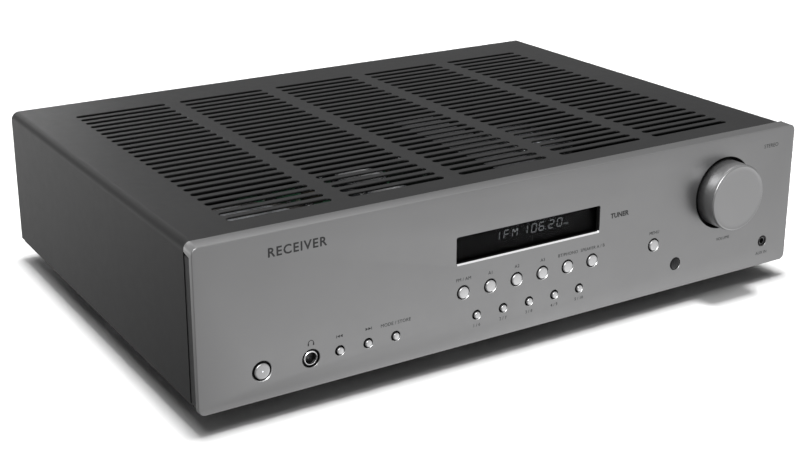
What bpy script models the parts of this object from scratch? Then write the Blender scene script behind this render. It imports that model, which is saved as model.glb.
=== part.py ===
"""Stereo receiver: a full-width hi-fi component with a metal front panel, a volume knob, push buttons,
a slotted steel cover, a chassis with its power supply and boards, and a rear panel of terminals.

Lengths are in millimetres and points are (x, y, z) with x to the right seen from the front, y from the
front face of the panel to the back, and z up from the panel's bottom edge. The helpers turn them into
metres, with the origin under the middle of the receiver on the surface that it stands on."""
import math

import bmesh
import bpy
from mathutils import Vector

# ---- driving dimensions ----
MM = 0.001
WIDTH = 430.0
PANEL_HEIGHT = 95.0
PANEL_THICK = 3.1
PANEL_RADIUS = 4.0
FOOT_LIFT = 12.0
GAP = 0.3
KNOB_OUT = 13.0
REAR_REACH = 320.0
MID_Y = (REAR_REACH - KNOB_OUT) / 2

LIP_BACK = 9.8
LIP_THICK = 1.8
LIP_END_FRONT = 88.5
LIP_END_BACK = 89.6

FRAME_BACK = 10.8
FRAME_HALF = 214.2
WEB_FRONT = 9.0

COVER_HALF = 214.6
COVER_TOP = 94.4
COVER_BOTTOM = 3.5
COVER_FRONT = FRAME_BACK + GAP
COVER_BACK = 302.0
COVER_SHEET = 1.0
COVER_RADIUS = 5.5
VENT_COLUMNS = 5
VENT_ROWS = 26
VENT_LENGTH = 63.4
VENT_WIDTH = 4.6
VENT_COLUMN_PITCH = 74.7
VENT_FRONT_ROW = 30.0
VENT_BACK_ROW = 266.0

BASE_BOTTOM = 1.2
BASE_TOP = 2.4
BASE_HALF = COVER_HALF - COVER_SHEET - GAP
BASE_BACK = 298.9
WALL_FRONT = 24.0
WALL_BACK = 25.2
REAR_FRONT = 299.2
REAR_BACK = 300.4

BOARD_FRONT = 13.0
BOARD_BACK = 14.6
STEM_RADIUS = 1.5

KNOB_CENTRE = (154.2, 58.0)
KNOB_RADIUS = 22.0
KNOB_HOLE = 23.8
KNOB_BACK = 2.0
SHAFT_RADIUS = 3.0

DISPLAY_CENTRE = (-1.0, 59.8)
DISPLAY_SIZE = (104.4, 16.4)

BUTTON_ROW = 33.6
PRESET_ROW = 17.4
BUTTON_PITCH = 19.0
JACK_CENTRE = (-148.0, 17.2)
JACK_BORE = 3.25
AUX_CENTRE = (193.0, 17.0)
AUX_BORE = 1.85
IR_CENTRE = (115.6, 17.0)

# Each button's kind gives its cap radius, panel hole radius, flange radius and how far it stands out.
BUTTON_KINDS = {
    "power": (4.6, 5.7, 6.6, 0.5),
    "large": (3.6, 4.35, 5.2, 0.6),
    "small": (2.0, 3.0, 3.9, 0.9),
}
BUTTONS = {
    "power_button": ("power", -177.6, 17.2),
    "tune_down_button": ("small", -130.0, PRESET_ROW),
    "tune_up_button": ("small", -112.0, PRESET_ROW),
    "mode_button": ("small", -94.0, PRESET_ROW),
    "menu_button": ("large", 96.3, BUTTON_ROW),
}
for step, name in enumerate(("fm_am", "source_1", "source_2", "source_3", "bt_phono", "speaker")):
    BUTTONS[name + "_button"] = ("large", -48.2 + BUTTON_PITCH * step, BUTTON_ROW)
for step in range(5):
    BUTTONS[f"preset_{step + 1}_button"] = ("small", -38.6 + BUTTON_PITCH * step, PRESET_ROW)

FEET = {
    "foot_front_left": (-168.0, 46.0),
    "foot_front_right": (168.0, 46.0),
    "foot_rear_left": (-168.0, 262.0),
    "foot_rear_right": (168.0, 262.0),
}

TOROID_CENTRE = (-128.0, 112.0)
HEATSINK_X = 45.0
MAIN_BOARD = (-62.0, 204.0, 62.0, 283.0)
MAIN_BOARD_BOTTOM = 10.0
MAIN_BOARD_TOP = 11.6
CAPACITORS = {"capacitor_left": (-36.0, 96.0), "capacitor_right": (-36.0, 138.0)}
STANDOFFS = ((-54.0, 72.0), (-54.0, 272.0), (196.0, 72.0), (196.0, 272.0))

INLET_CENTRE = (-184.0, 30.0)
SWITCH_CENTRE = (-184.0, 62.0)
TERMINAL_ROWS = {"a": 60.0, "b": 34.0}
TERMINAL_MIDDLE = -92.0
TERMINAL_PITCH = 19.0
CAP_FRONT = 306.6
SOCKET_MIDDLE = 60.0
SOCKET_PITCH = 18.0
SOCKET_COLUMNS = 7
SOCKET_ROWS = (34.0, 56.0)
GROUND_CENTRE = (137.0, 34.0)
ANTENNA_CENTRE = (176.0, 46.0)
LEVER_X = (168.0, 184.0)


# ---- scene, materials and placing ----
for leftover in list(bpy.data.objects):
    bpy.data.objects.remove(leftover, do_unlink=True)

parts = bpy.data.collections.new("stereo_receiver")
cutters = bpy.data.collections.new("cutters")
for collection in (parts, cutters):
    bpy.context.scene.collection.children.link(collection)


def material(name, colour, metallic, roughness, alpha=1.0):
    """A Principled material named after the piece it belongs to."""
    made = bpy.data.materials.new(name)
    made.use_nodes = True
    shader = made.node_tree.nodes["Principled BSDF"]
    shader.inputs["Base Color"].default_value = (*colour, 1.0)
    shader.inputs["Metallic"].default_value = metallic
    shader.inputs["Roughness"].default_value = roughness
    shader.inputs["Alpha"].default_value = alpha
    return made


FINISHES = {
    "aluminium": ((0.33, 0.33, 0.335), 0.9, 0.38),
    "silver": ((0.78, 0.78, 0.79), 0.8, 0.3),
    "black_steel": ((0.035, 0.035, 0.037), 0.3, 0.5),
    "zinc_steel": ((0.55, 0.56, 0.57), 0.9, 0.4),
    "black_plastic": ((0.02, 0.02, 0.021), 0.0, 0.45),
    "smoked": ((0.008, 0.008, 0.01), 0.0, 0.12),
    "board_green": ((0.02, 0.12, 0.05), 0.0, 0.5),
    "gold": ((0.83, 0.62, 0.25), 1.0, 0.25),
    "rubber": ((0.015, 0.015, 0.016), 0.0, 0.8),
    "red_plastic": ((0.5, 0.02, 0.02), 0.0, 0.35),
    "grey_plastic": ((0.3, 0.3, 0.31), 0.0, 0.5),
    "tape": ((0.55, 0.4, 0.12), 0.0, 0.5),
    "sleeve_blue": ((0.03, 0.07, 0.2), 0.0, 0.35),
    "glass_black": ((0.01, 0.015, 0.015), 0.0, 0.08),
}


def metres(point):
    """A point of the receiver, in millimetres from the panel's bottom edge, as metres from the origin."""
    x, y, z = point
    return Vector((x, y - MID_Y, z + FOOT_LIFT)) * MM


def make_object(name, bm, origin, finish=None):
    """Turns a mesh into an object whose origin is at a point. Without a finish it is a hidden cutter."""
    bmesh.ops.recalc_face_normals(bm, faces=bm.faces)
    base = metres(origin)
    for vertex in bm.verts:
        vertex.co = metres(vertex.co) - base
    mesh = bpy.data.meshes.new(name)
    bm.to_mesh(mesh)
    bm.free()
    made = bpy.data.objects.new(name, mesh)
    made.location = base
    if finish is None:
        cutters.objects.link(made)
        made.hide_render = True
        made.display_type = "WIRE"
        return made
    parts.objects.link(made)
    mesh.materials.append(material(name, *FINISHES[finish]))
    return made


def smooth(made, degrees=32.0):
    """Shades an object smooth, with edges steeper than the angle left sharp."""
    for face in made.data.polygons:
        face.use_smooth = True
    made.data.set_sharp_from_angle(angle=math.radians(degrees))
    return made


def boolean(made, tool_mesh, operation="DIFFERENCE"):
    """Cuts a mesh out of an object, or joins it on."""
    tool = make_object(f"{made.name}_tool_{len(made.modifiers)}", tool_mesh, (0.0, 0.0, 0.0))
    modifier = made.modifiers.new(operation.lower(), "BOOLEAN")
    modifier.operation = operation
    modifier.solver = "EXACT"
    modifier.object = tool
    return made


# ---- shapes, each added to a mesh in millimetres ----
def box(bm, low, high):
    """A block between two corners."""
    corners = [
        bm.verts.new((x, y, z)) for x in (low[0], high[0]) for y in (low[1], high[1]) for z in (low[2], high[2])
    ]
    for quad in ((0, 1, 3, 2), (4, 6, 7, 5), (0, 4, 5, 1), (2, 3, 7, 6), (0, 2, 6, 4), (1, 5, 7, 3)):
        bm.faces.new([corners[i] for i in quad])
    return bm


def on_axis(axis, across, up, along):
    """A point from its two coordinates across an axis and the one along it."""
    return {"X": (along, across, up), "Y": (across, along, up), "Z": (across, up, along)}[axis]


def loft(bm, axis, sections):
    """A closed skin through outlines of equal length, each given as (outline, position along the axis)."""
    rings = [[bm.verts.new(on_axis(axis, u, v, along)) for u, v in outline] for outline, along in sections]
    count = len(rings[0])
    for lower, upper in zip(rings, rings[1:]):
        for i in range(count):
            j = (i + 1) % count
            bm.faces.new((lower[i], lower[j], upper[j], upper[i]))
    bm.faces.new(rings[0])
    bm.faces.new(list(reversed(rings[-1])))
    return bm


def prism(bm, axis, outline, start, end):
    """An outline drawn out along an axis."""
    return loft(bm, axis, [(outline, start), (outline, end)])


def turned(bm, axis, centre, profile, segments, closed=False):
    """A profile of (radius, position along the axis) turned about a centre. A closed one makes a ring."""
    rings = []
    for radius, along in profile:
        if radius == 0:
            rings.append([bm.verts.new(on_axis(axis, centre[0], centre[1], along))])
            continue
        turns = [2 * math.pi * (k + 0.5) / segments for k in range(segments)]
        rings.append(
            [
                bm.verts.new(
                    on_axis(axis, centre[0] + radius * math.cos(t), centre[1] + radius * math.sin(t), along)
                )
                for t in turns
            ]
        )
    pairs = list(zip(rings, rings[1:]))
    if closed:
        pairs.append((rings[-1], rings[0]))
    for first, second in pairs:
        for k in range(segments):
            n = (k + 1) % segments
            if len(first) == 1:
                bm.faces.new((first[0], second[n], second[k]))
            elif len(second) == 1:
                bm.faces.new((first[k], first[n], second[0]))
            else:
                bm.faces.new((first[k], first[n], second[n], second[k]))
    return bm


def pin(bm, axis, centre, radius, start, end, segments=16):
    """A plain cylinder."""
    return turned(bm, axis, centre, [(0, start), (radius, start), (radius, end), (0, end)], segments)


def tube(bm, axis, centre, outer, inner, start, end, segments=16):
    """A cylinder with a hole through it."""
    loop = [(inner, start), (outer, start), (outer, end), (inner, end)]
    return turned(bm, axis, centre, loop, segments, closed=True)


def arc(cx, cy, radius, first, last, steps):
    """Points on an arc, with its angles in degrees."""
    angles = [math.radians(first + (last - first) * k / steps) for k in range(steps + 1)]
    return [(cx + radius * math.cos(a), cy + radius * math.sin(a)) for a in angles]


def rounded(x0, x1, y0, y1, radius, steps=4):
    """A rectangle with round corners."""
    corners = ((x1, y0, -90), (x1, y1, 0), (x0, y1, 90), (x0, y0, 180))
    outline = []
    for x, y, first in corners:
        cx = x - radius if x == x1 else x + radius
        cy = y - radius if y == y1 else y + radius
        outline += arc(cx, cy, radius, first, first + 90, steps)
    return outline


def around(centre, width, height, radius=0.0):
    """A rectangle about a centre, with round corners if a radius is given."""
    cx, cy = centre
    edges = (cx - width / 2, cx + width / 2, cy - height / 2, cy + height / 2)
    if radius:
        return rounded(*edges, radius)
    x0, x1, y0, y1 = edges
    return [(x0, y0), (x1, y0), (x1, y1), (x0, y1)]


def arch(half, bottom, top, radius, thick, steps=5):
    """The outline of a sheet bent over both top corners, open at the bottom."""
    inner = radius - thick
    outer_line = [(-half, bottom)] + arc(radius - half, top - radius, radius, 180, 90, steps)
    outer_line += arc(half - radius, top - radius, radius, 90, 0, steps) + [(half, bottom)]
    inner_line = [(half - thick, bottom)] + arc(half - radius, top - radius, inner, 0, 90, steps)
    inner_line += arc(radius - half, top - radius, inner, 90, 180, steps) + [(thick - half, bottom)]
    return outer_line + inner_line


# ---- front panel, its frame, and the casing ----
def build_front_panel():
    half = WIDTH / 2
    edge = 0.5
    front = rounded(edge - half, half - edge, edge, PANEL_HEIGHT - edge, PANEL_RADIUS - edge)
    full = rounded(-half, half, 0.0, PANEL_HEIGHT, PANEL_RADIUS)
    bm = loft(bmesh.new(), "Y", [(front, 0.0), (full, edge), (full, PANEL_THICK)])
    panel = make_object("front_panel", bm, (0, 0, PANEL_HEIGHT / 2), "aluminium")
    lip = arch(half, LIP_END_FRONT - 4.0, PANEL_HEIGHT, PANEL_RADIUS, LIP_THICK, 4)
    boolean(panel, prism(bmesh.new(), "Y", lip, PANEL_THICK - 1.0, LIP_BACK), "UNION")
    below = LIP_END_FRONT - 8.0
    slant = [
        (PANEL_THICK, below),
        (LIP_BACK + 1, below),
        (LIP_BACK + 1, LIP_END_BACK + 0.4),
        (PANEL_THICK, LIP_END_FRONT),
    ]
    tools = prism(bmesh.new(), "X", slant, -half - 1, half + 1)
    boolean(panel, tools)
    tools = bmesh.new()
    for kind, x, z in BUTTONS.values():
        pin(tools, "Y", (x, z), BUTTON_KINDS[kind][1], -1, PANEL_THICK + 1)
    pin(tools, "Y", JACK_CENTRE, 5.4, -1, PANEL_THICK + 1, 20)
    pin(tools, "Y", AUX_CENTRE, 3.8, -1, PANEL_THICK + 1)
    pin(tools, "Y", IR_CENTRE, 4.3, -1, PANEL_THICK + 1)
    pin(tools, "Y", KNOB_CENTRE, KNOB_HOLE, -1, PANEL_THICK + 1, 48)
    prism(tools, "Y", around(DISPLAY_CENTRE, *DISPLAY_SIZE), -1, PANEL_THICK + 1)
    smooth(boolean(panel, tools))


def build_fascia_frame():
    front = PANEL_THICK + GAP
    bottom = 0.6
    top = PANEL_HEIGHT - LIP_THICK - GAP
    inset = WIDTH / 2 - LIP_THICK - GAP
    right = arc(FRAME_HALF - 4.5, bottom + 4.5, 4.5, -90, 0, 4)
    right += [(FRAME_HALF, LIP_END_FRONT - 1.2), (inset, LIP_END_FRONT)]
    right += arc(inset - 3.0, top - 3.0, 3.0, 0, 90, 3)
    outline = right + [(-x, z) for x, z in reversed(right)]
    frame = make_object(
        "fascia_frame", prism(bmesh.new(), "Y", outline, front, FRAME_BACK), (0, front, 47), "black_plastic"
    )
    tools = bmesh.new()
    inner = rounded(3.0 - inset, inset - 3.0, 4.0, top - 3.0, 3.0, 2)
    boolean(frame, prism(tools, "Y", inner, front - 1, WEB_FRONT))
    tools = bmesh.new()
    for kind, x, z in BUTTONS.values():
        pin(tools, "Y", (x, z), STEM_RADIUS + 0.5, WEB_FRONT - 1, FRAME_BACK + 1, 10)
    prism(tools, "Y", around(JACK_CENTRE, 13.0, 13.0), WEB_FRONT - 1, FRAME_BACK + 1)
    prism(tools, "Y", around(AUX_CENTRE, 9.0, 9.0), WEB_FRONT - 1, FRAME_BACK + 1)
    pin(tools, "Y", IR_CENTRE, 3.0, WEB_FRONT - 1, FRAME_BACK + 1, 10)
    pin(tools, "Y", KNOB_CENTRE, 5.0, WEB_FRONT - 1, FRAME_BACK + 1)
    prism(tools, "Y", around(DISPLAY_CENTRE, 109.0, 21.0), WEB_FRONT - 1, FRAME_BACK + 1)
    boolean(frame, tools)


def build_top_cover():
    outline = arch(COVER_HALF, COVER_BOTTOM, COVER_TOP, COVER_RADIUS, COVER_SHEET)
    cover = make_object(
        "top_cover",
        prism(bmesh.new(), "Y", outline, COVER_FRONT, COVER_BACK),
        (0, (COVER_FRONT + COVER_BACK) / 2, COVER_TOP),
        "black_steel",
    )
    slots = bmesh.new()
    row_pitch = (VENT_BACK_ROW - VENT_FRONT_ROW) / (VENT_ROWS - 1)
    for column in range(VENT_COLUMNS):
        x = VENT_COLUMN_PITCH * (column - (VENT_COLUMNS - 1) / 2)
        for row in range(VENT_ROWS):
            y = VENT_FRONT_ROW + row_pitch * row
            slot = around((x, y), VENT_LENGTH, VENT_WIDTH)
            prism(slots, "Z", slot, COVER_TOP - COVER_SHEET - 1, COVER_TOP + 1)
    smooth(boolean(cover, slots))


def build_base_chassis():
    half = BASE_HALF
    front = COVER_FRONT
    tray = [
        (-half, BASE_BOTTOM),
        (half, BASE_BOTTOM),
        (half, 16.0),
        (half - 1.0, 16.0),
        (half - 1.0, BASE_TOP),
        (1.0 - half, BASE_TOP),
        (1.0 - half, 16.0),
        (-half, 16.0),
    ]
    base = make_object(
        "base_chassis", prism(bmesh.new(), "Y", tray, front, BASE_BACK), (0, 155, BASE_BOTTOM), "zinc_steel"
    )
    added = bmesh.new()
    box(added, (2.0 - half, WALL_FRONT, 1.8), (half - 2.0, WALL_BACK, 88.0))
    box(added, (2.0 - half, BASE_BACK - 1.2, 1.8), (half - 2.0, BASE_BACK, 9.0))
    for x, y in STANDOFFS:
        pin(added, "Z", (x, y), 3.5, 1.8, MAIN_BOARD_BOTTOM - GAP, 10)
    boolean(base, added, "UNION")
    tools = bmesh.new()
    prism(tools, "Y", around(JACK_CENTRE, 16.0, 16.0), WALL_FRONT - 1, WALL_BACK + 1)
    prism(tools, "Y", around((10.0, 67.0), 70.0, 15.0), WALL_FRONT - 1, WALL_BACK + 1)
    for x in (-52.0, 52.0):
        for row in range(8):
            slot = around((x, 76.0 + 22.0 * row), 70.0, 5.0)
            prism(tools, "Z", slot, BASE_BOTTOM - 1, BASE_TOP + 0.5)
    boolean(base, tools)


def build_rear_panel():
    half = BASE_HALF
    inner_top = COVER_TOP - COVER_SHEET - GAP
    radius = COVER_RADIUS - COVER_SHEET - GAP
    outline = [(-half, BASE_BOTTOM), (half, BASE_BOTTOM)]
    outline += arc(half - radius, inner_top - radius, radius, 0, 90, 4)
    outline += arc(radius - half, inner_top - radius, radius, 90, 180, 4)
    panel = make_object(
        "rear_panel", prism(bmesh.new(), "Y", outline, REAR_FRONT, REAR_BACK), (0, REAR_FRONT, 47), "black_steel"
    )
    openings = [
        around(INLET_CENTRE, 27.8, 20.6),
        around(SWITCH_CENTRE, 22.2, 15.6),
        around((SOCKET_MIDDLE, sum(SOCKET_ROWS) / 2), 126.6, 38.6),
        around(ANTENNA_CENTRE, 32.6, 38.6),
    ]
    openings += [around((TERMINAL_MIDDLE, z), 80.6, 14.6) for z in TERMINAL_ROWS.values()]
    tools = bmesh.new()
    for opening in openings:
        prism(tools, "Y", opening, REAR_FRONT - 1, REAR_BACK + 1)
    pin(tools, "Y", GROUND_CENTRE, 2.4, REAR_FRONT - 1, REAR_BACK + 1, 12)
    boolean(panel, tools)


def build_feet():
    profile = [
        (0, BASE_BOTTOM - GAP),
        (20.0, BASE_BOTTOM - GAP),
        (21.5, BASE_BOTTOM - 1.8),
        (19.5, 1.0 - FOOT_LIFT),
        (18.5, -FOOT_LIFT),
        (12.5, -FOOT_LIFT),
        (11.5, 1.5 - FOOT_LIFT),
        (0, 1.5 - FOOT_LIFT),
    ]
    for name, (x, y) in FEET.items():
        bm = turned(bmesh.new(), "Z", (x, y), profile, 20)
        smooth(make_object(name, bm, (x, y, BASE_BOTTOM), "rubber"))


# ---- front controls ----
def build_buttons():
    for name, (kind, x, z) in BUTTONS.items():
        cap, _, flange, out = BUTTON_KINDS[kind]
        flange_front = PANEL_THICK + 0.5
        profile = [
            (0, -out - 0.15),
            (cap * 0.72, -out),
            (cap, 0.35 - out),
            (cap, flange_front),
            (flange, flange_front),
            (flange, flange_front + 1.2),
            (STEM_RADIUS, flange_front + 1.2),
            (STEM_RADIUS, 11.2),
            (0, 11.2),
        ]
        segments = 10 if kind == "small" else 14
        bm = turned(bmesh.new(), "Y", (x, z), profile, segments)
        smooth(make_object(name, bm, (x, -out, z), "silver"))


def build_volume():
    x, z = KNOB_CENTRE
    knob = [
        (0, -KNOB_OUT),
        (KNOB_RADIUS - 1.2, -KNOB_OUT),
        (KNOB_RADIUS - 0.35, 0.35 - KNOB_OUT),
        (KNOB_RADIUS, 1.2 - KNOB_OUT),
        (KNOB_RADIUS, KNOB_BACK),
        (KNOB_RADIUS - 3.0, KNOB_BACK),
        (KNOB_RADIUS - 3.0, 4.0 - KNOB_OUT),
        (7.0, 4.0 - KNOB_OUT),
        (7.0, KNOB_BACK),
        (SHAFT_RADIUS + GAP, KNOB_BACK),
        (SHAFT_RADIUS + GAP, 3.0 - KNOB_OUT),
        (0, 3.0 - KNOB_OUT),
    ]
    smooth(make_object("volume_knob", turned(bmesh.new(), "Y", KNOB_CENTRE, knob, 36), (x, 0, z), "aluminium"))
    shaft = pin(bmesh.new(), "Y", KNOB_CENTRE, SHAFT_RADIUS, 3.4 - KNOB_OUT, 20.0, 20)
    smooth(make_object("volume_shaft", shaft, (x, 4, z), "zinc_steel"))
    encoder = make_object(
        "volume_encoder", tube(bmesh.new(), "Y", KNOB_CENTRE, 4.5, 3.06, 4.5, 18.0, 20), (x, 16, z), "zinc_steel"
    )
    body = prism(bmesh.new(), "Y", around(KNOB_CENTRE, 15.0, 15.0), BOARD_BACK + GAP, 21.5)
    boolean(encoder, body, "UNION")
    smooth(boolean(encoder, pin(bmesh.new(), "Y", KNOB_CENTRE, 3.06, 4.0, 20.6, 20)))


def build_jacks():
    x, z = JACK_CENTRE
    sleeve = [(JACK_BORE, 0.3), (5.1, 0.3), (5.1, 4.0), (JACK_BORE, 4.0)]
    bm = turned(bmesh.new(), "Y", JACK_CENTRE, sleeve, 20, closed=True)
    jack = make_object("headphone_jack", bm, (x, 0.3, z), "silver")
    boolean(jack, prism(bmesh.new(), "Y", around(JACK_CENTRE, 12.0, 12.0), 3.6, 33.0), "UNION")
    smooth(boolean(jack, pin(bmesh.new(), "Y", JACK_CENTRE, JACK_BORE, -1, 30.5, 20)))
    x, z = AUX_CENTRE
    sleeve = [(AUX_BORE, 0.2), (3.5, 0.2), (3.5, 4.0), (AUX_BORE, 4.0)]
    bm = turned(bmesh.new(), "Y", AUX_CENTRE, sleeve, 16, closed=True)
    jack = make_object("aux_jack", bm, (x, 0.2, z), "black_plastic")
    boolean(jack, prism(bmesh.new(), "Y", around(AUX_CENTRE, 8.0, 8.0), 3.6, 18.5), "UNION")
    smooth(boolean(jack, pin(bmesh.new(), "Y", AUX_CENTRE, AUX_BORE, -1, 16.0, 16)))
    x, z = IR_CENTRE
    window = [(0, 0.1), (4.0, 0.1), (4.0, 3.5), (5.2, 3.5), (5.2, 4.6), (0, 4.6)]
    smooth(make_object("ir_window", turned(bmesh.new(), "Y", IR_CENTRE, window, 16), (x, 0.1, z), "smoked"))


def build_display():
    x, z = DISPLAY_CENTRE
    width, height = DISPLAY_SIZE
    window = prism(bmesh.new(), "Y", around(DISPLAY_CENTRE, width + 5, height + 5, 1.0), 3.4, 5.2)
    make_object("display_window", window, (x, 3.4, z), "smoked")
    glass = prism(bmesh.new(), "Y", around(DISPLAY_CENTRE, width + 1, height + 1), 5.6, 8.0)
    module = make_object("display_module", glass, (x, 5.6, z), "glass_black")
    carrier = prism(bmesh.new(), "Y", around(DISPLAY_CENTRE, width + 3, height + 3), 7.6, 12.4)
    boolean(module, carrier, "UNION")


def build_front_board():
    bm = box(bmesh.new(), (-204.0, BOARD_FRONT, 6.0), (204.0, BOARD_BACK, 84.0))
    board = make_object("front_board", bm, (0, BOARD_FRONT, 45), "board_green")
    switches = bmesh.new()
    for _, x, z in BUTTONS.values():
        prism(switches, "Y", around((x, z), 6.0, 6.0), BOARD_FRONT - 0.5, BOARD_FRONT + 0.5)
    prism(switches, "Y", around(IR_CENTRE, 6.0, 7.0), BOARD_FRONT - 1.8, BOARD_FRONT + 0.5)
    prism(switches, "Y", around((10.0, 70.0), 60.0, 5.0), BOARD_BACK - 0.5, BOARD_BACK + 4.0)
    boolean(board, switches, "UNION")
    tools = bmesh.new()
    prism(tools, "Y", around(JACK_CENTRE, 13.0, 13.0), BOARD_FRONT - 1, BOARD_BACK + 1)
    prism(tools, "Y", around(AUX_CENTRE, 9.0, 9.0), BOARD_FRONT - 1, BOARD_BACK + 1)
    pin(tools, "Y", KNOB_CENTRE, 5.0, BOARD_FRONT - 1, BOARD_BACK + 1)
    boolean(board, tools)


# ---- inside the case ----
def build_internals():
    x, y = TOROID_CENTRE
    ring = [(14, 10), (20, 4), (46, 3), (54, 9), (56, 28), (54, 48), (46, 54), (20, 53), (14, 47)]
    bm = turned(bmesh.new(), "Z", TOROID_CENTRE, ring, 28, closed=True)
    smooth(make_object("transformer", bm, (x, y, 3), "tape"), 40.0)
    plate = [
        (0, 60.5),
        (4.5, 60.5),
        (4.5, 57.0),
        (34.0, 57.0),
        (34.0, 54.4),
        (12.0, 54.4),
        (10.0, 50.0),
        (3.0, 50.0),
        (3.0, 3.0),
        (0, 3.0),
    ]
    bm = turned(bmesh.new(), "Z", TOROID_CENTRE, plate, 16)
    smooth(make_object("transformer_clamp", bm, (x, y, 54), "black_steel"))
    for name, (x, y) in CAPACITORS.items():
        floor = MAIN_BOARD_TOP + GAP
        can = [
            (0, floor),
            (16.6, floor),
            (17.5, floor + 1.5),
            (17.5, 63.0),
            (16.4, 64.0),
            (14.6, 64.0),
            (14.2, 63.4),
            (0, 63.4),
        ]
        smooth(make_object(name, turned(bmesh.new(), "Z", (x, y), can, 20), (x, y, floor), "sleeve_blue"))
    x0, x1, y0, y1 = MAIN_BOARD
    bm = box(bmesh.new(), (x0, y0, MAIN_BOARD_BOTTOM), (x1, y1, MAIN_BOARD_TOP))
    make_object("main_board", bm, ((x0 + x1) / 2, (y0 + y1) / 2, MAIN_BOARD_BOTTOM), "board_green")
    build_heatsink()
    bm = box(bmesh.new(), (152.0, 210.0, MAIN_BOARD_TOP + GAP), (200.0, 276.0, 32.0))
    make_object("tuner_module", bm, (176, 243, 12), "zinc_steel")
    profile = [(19.0, 67.6), (19.9, 67.6), (34.0, 60.0), (34.0, 14.0), (60.0, 12.7), (60.0, 11.9), (33.1, 13.1)]
    profile += [(33.1, 59.5), (19.0, 66.7)]
    bm = prism(bmesh.new(), "X", profile, -14.0, 34.0)
    make_object("ribbon_cable", bm, (10, 19, 67), "grey_plastic")


def build_heatsink():
    floor = MAIN_BOARD_TOP + GAP
    spine = 4.0
    pitch = 9.0
    outline = [(HEATSINK_X - spine, floor)]
    for k in range(7):
        z = floor + pitch * k
        reach = HEATSINK_X + spine
        outline += [(reach + 26.0, z), (reach + 26.0, z + 1.8), (reach, z + 1.8)]
        if k < 6:
            outline.append((reach, z + pitch))
    outline.append((HEATSINK_X - spine, floor + pitch * 6 + 1.8))
    bm = prism(bmesh.new(), "Y", outline, 78.0, 228.0)
    sink = make_object("heatsink", bm, (HEATSINK_X, 153, floor), "black_steel")
    devices = bmesh.new()
    for k in range(4):
        y = 98.0 + 36.0 * k
        box(devices, (HEATSINK_X - spine - 5.0, y - 8.0, 30.0), (HEATSINK_X - spine + 1.0, y + 8.0, 50.0))
    boolean(sink, devices, "UNION")


# ---- rear connectors ----
def build_mains_parts():
    x, z = INLET_CENTRE
    face = 303.0
    flange = around(INLET_CENTRE, 31.0, 24.0, 2.0)
    inlet = make_object(
        "mains_inlet", prism(bmesh.new(), "Y", flange, REAR_BACK + GAP, face), (x, face, z), "black_plastic"
    )
    boolean(inlet, prism(bmesh.new(), "Y", around(INLET_CENTRE, 27.2, 20.0), 279.0, REAR_BACK + 1), "UNION")
    recess = [(x - 12.2, z - 8.3), (x + 12.2, z - 8.3), (x + 12.2, z + 4.0), (x + 8.0, z + 8.3), (x - 8.0, z + 8.3)]
    recess.append((x - 12.2, z + 4.0))
    boolean(inlet, prism(bmesh.new(), "Y", recess, 285.0, face + 1))
    blades = bmesh.new()
    for dx, dz in ((-7.0, -1.5), (7.0, -1.5), (0.0, 2.5)):
        prism(blades, "Y", around((x + dx, z + dz), 2.0, 4.0), 284.0, 296.0)
    boolean(inlet, blades, "UNION")

    x, z = SWITCH_CENTRE
    flange = around(SWITCH_CENTRE, 26.0, 19.0, 1.5)
    housing = make_object(
        "switch_housing", prism(bmesh.new(), "Y", flange, REAR_BACK + GAP, 302.6), (x, 302.6, z), "black_plastic"
    )
    boolean(housing, prism(bmesh.new(), "Y", around(SWITCH_CENTRE, 21.6, 15.0), 282.0, REAR_BACK + 1), "UNION")
    boolean(housing, prism(bmesh.new(), "Y", around(SWITCH_CENTRE, 18.4, 12.4), 288.0, 304.0))

    pivot = 299.0
    side = arc(0.0, 0.0, 4.2, 205, 335, 6)
    shape = side + [(4.2, 5.0), (0.0, 4.0), (-4.2, 5.0)]
    tilt = math.radians(8.0)
    turned_shape = [
        (
            pivot + across * math.sin(tilt) + outward * math.cos(tilt),
            z + across * math.cos(tilt) - outward * math.sin(tilt),
        )
        for across, outward in shape
    ]
    bm = prism(bmesh.new(), "X", turned_shape, x - 8.8, x + 8.8)
    make_object("power_rocker", bm, (x, pivot, z), "black_plastic")


def build_speaker_terminals():
    cap = [
        (3.2, CAP_FRONT),
        (6.0, CAP_FRONT),
        (6.5, CAP_FRONT + 0.8),
        (6.5, REAR_REACH - 1.2),
        (5.6, REAR_REACH),
        (2.1, REAR_REACH),
        (2.1, 317.0),
        (3.2, 317.0),
    ]
    for row, z in TERMINAL_ROWS.items():
        name = f"speaker_block_{row}"
        strip = around((TERMINAL_MIDDLE, z), 84.0, 20.0, 2.0)
        block = make_object(
            name,
            prism(bmesh.new(), "Y", strip, REAR_BACK + GAP, 303.2),
            (TERMINAL_MIDDLE, 303.2, z),
            "black_plastic",
        )
        added = prism(bmesh.new(), "Y", around((TERMINAL_MIDDLE, z), 80.0, 14.0), 290.0, 301.5)
        for k in range(4):
            x = TERMINAL_MIDDLE + TERMINAL_PITCH * (k - 1.5)
            post = [(0, 302.0), (5.6, 302.0), (5.6, 306.0), (2.9, 306.0), (2.9, 316.5), (0, 316.5)]
            turned(added, "Y", (x, z), post, 12)
        smooth(boolean(block, added, "UNION"))
        for k in range(4):
            x = TERMINAL_MIDDLE + TERMINAL_PITCH * (k - 1.5)
            finish = "red_plastic" if k % 2 else "black_plastic"
            bm = turned(bmesh.new(), "Y", (x, z), cap, 12, closed=True)
            smooth(make_object(f"terminal_{row}{k + 1}", bm, (x, CAP_FRONT, z), finish))


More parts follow.
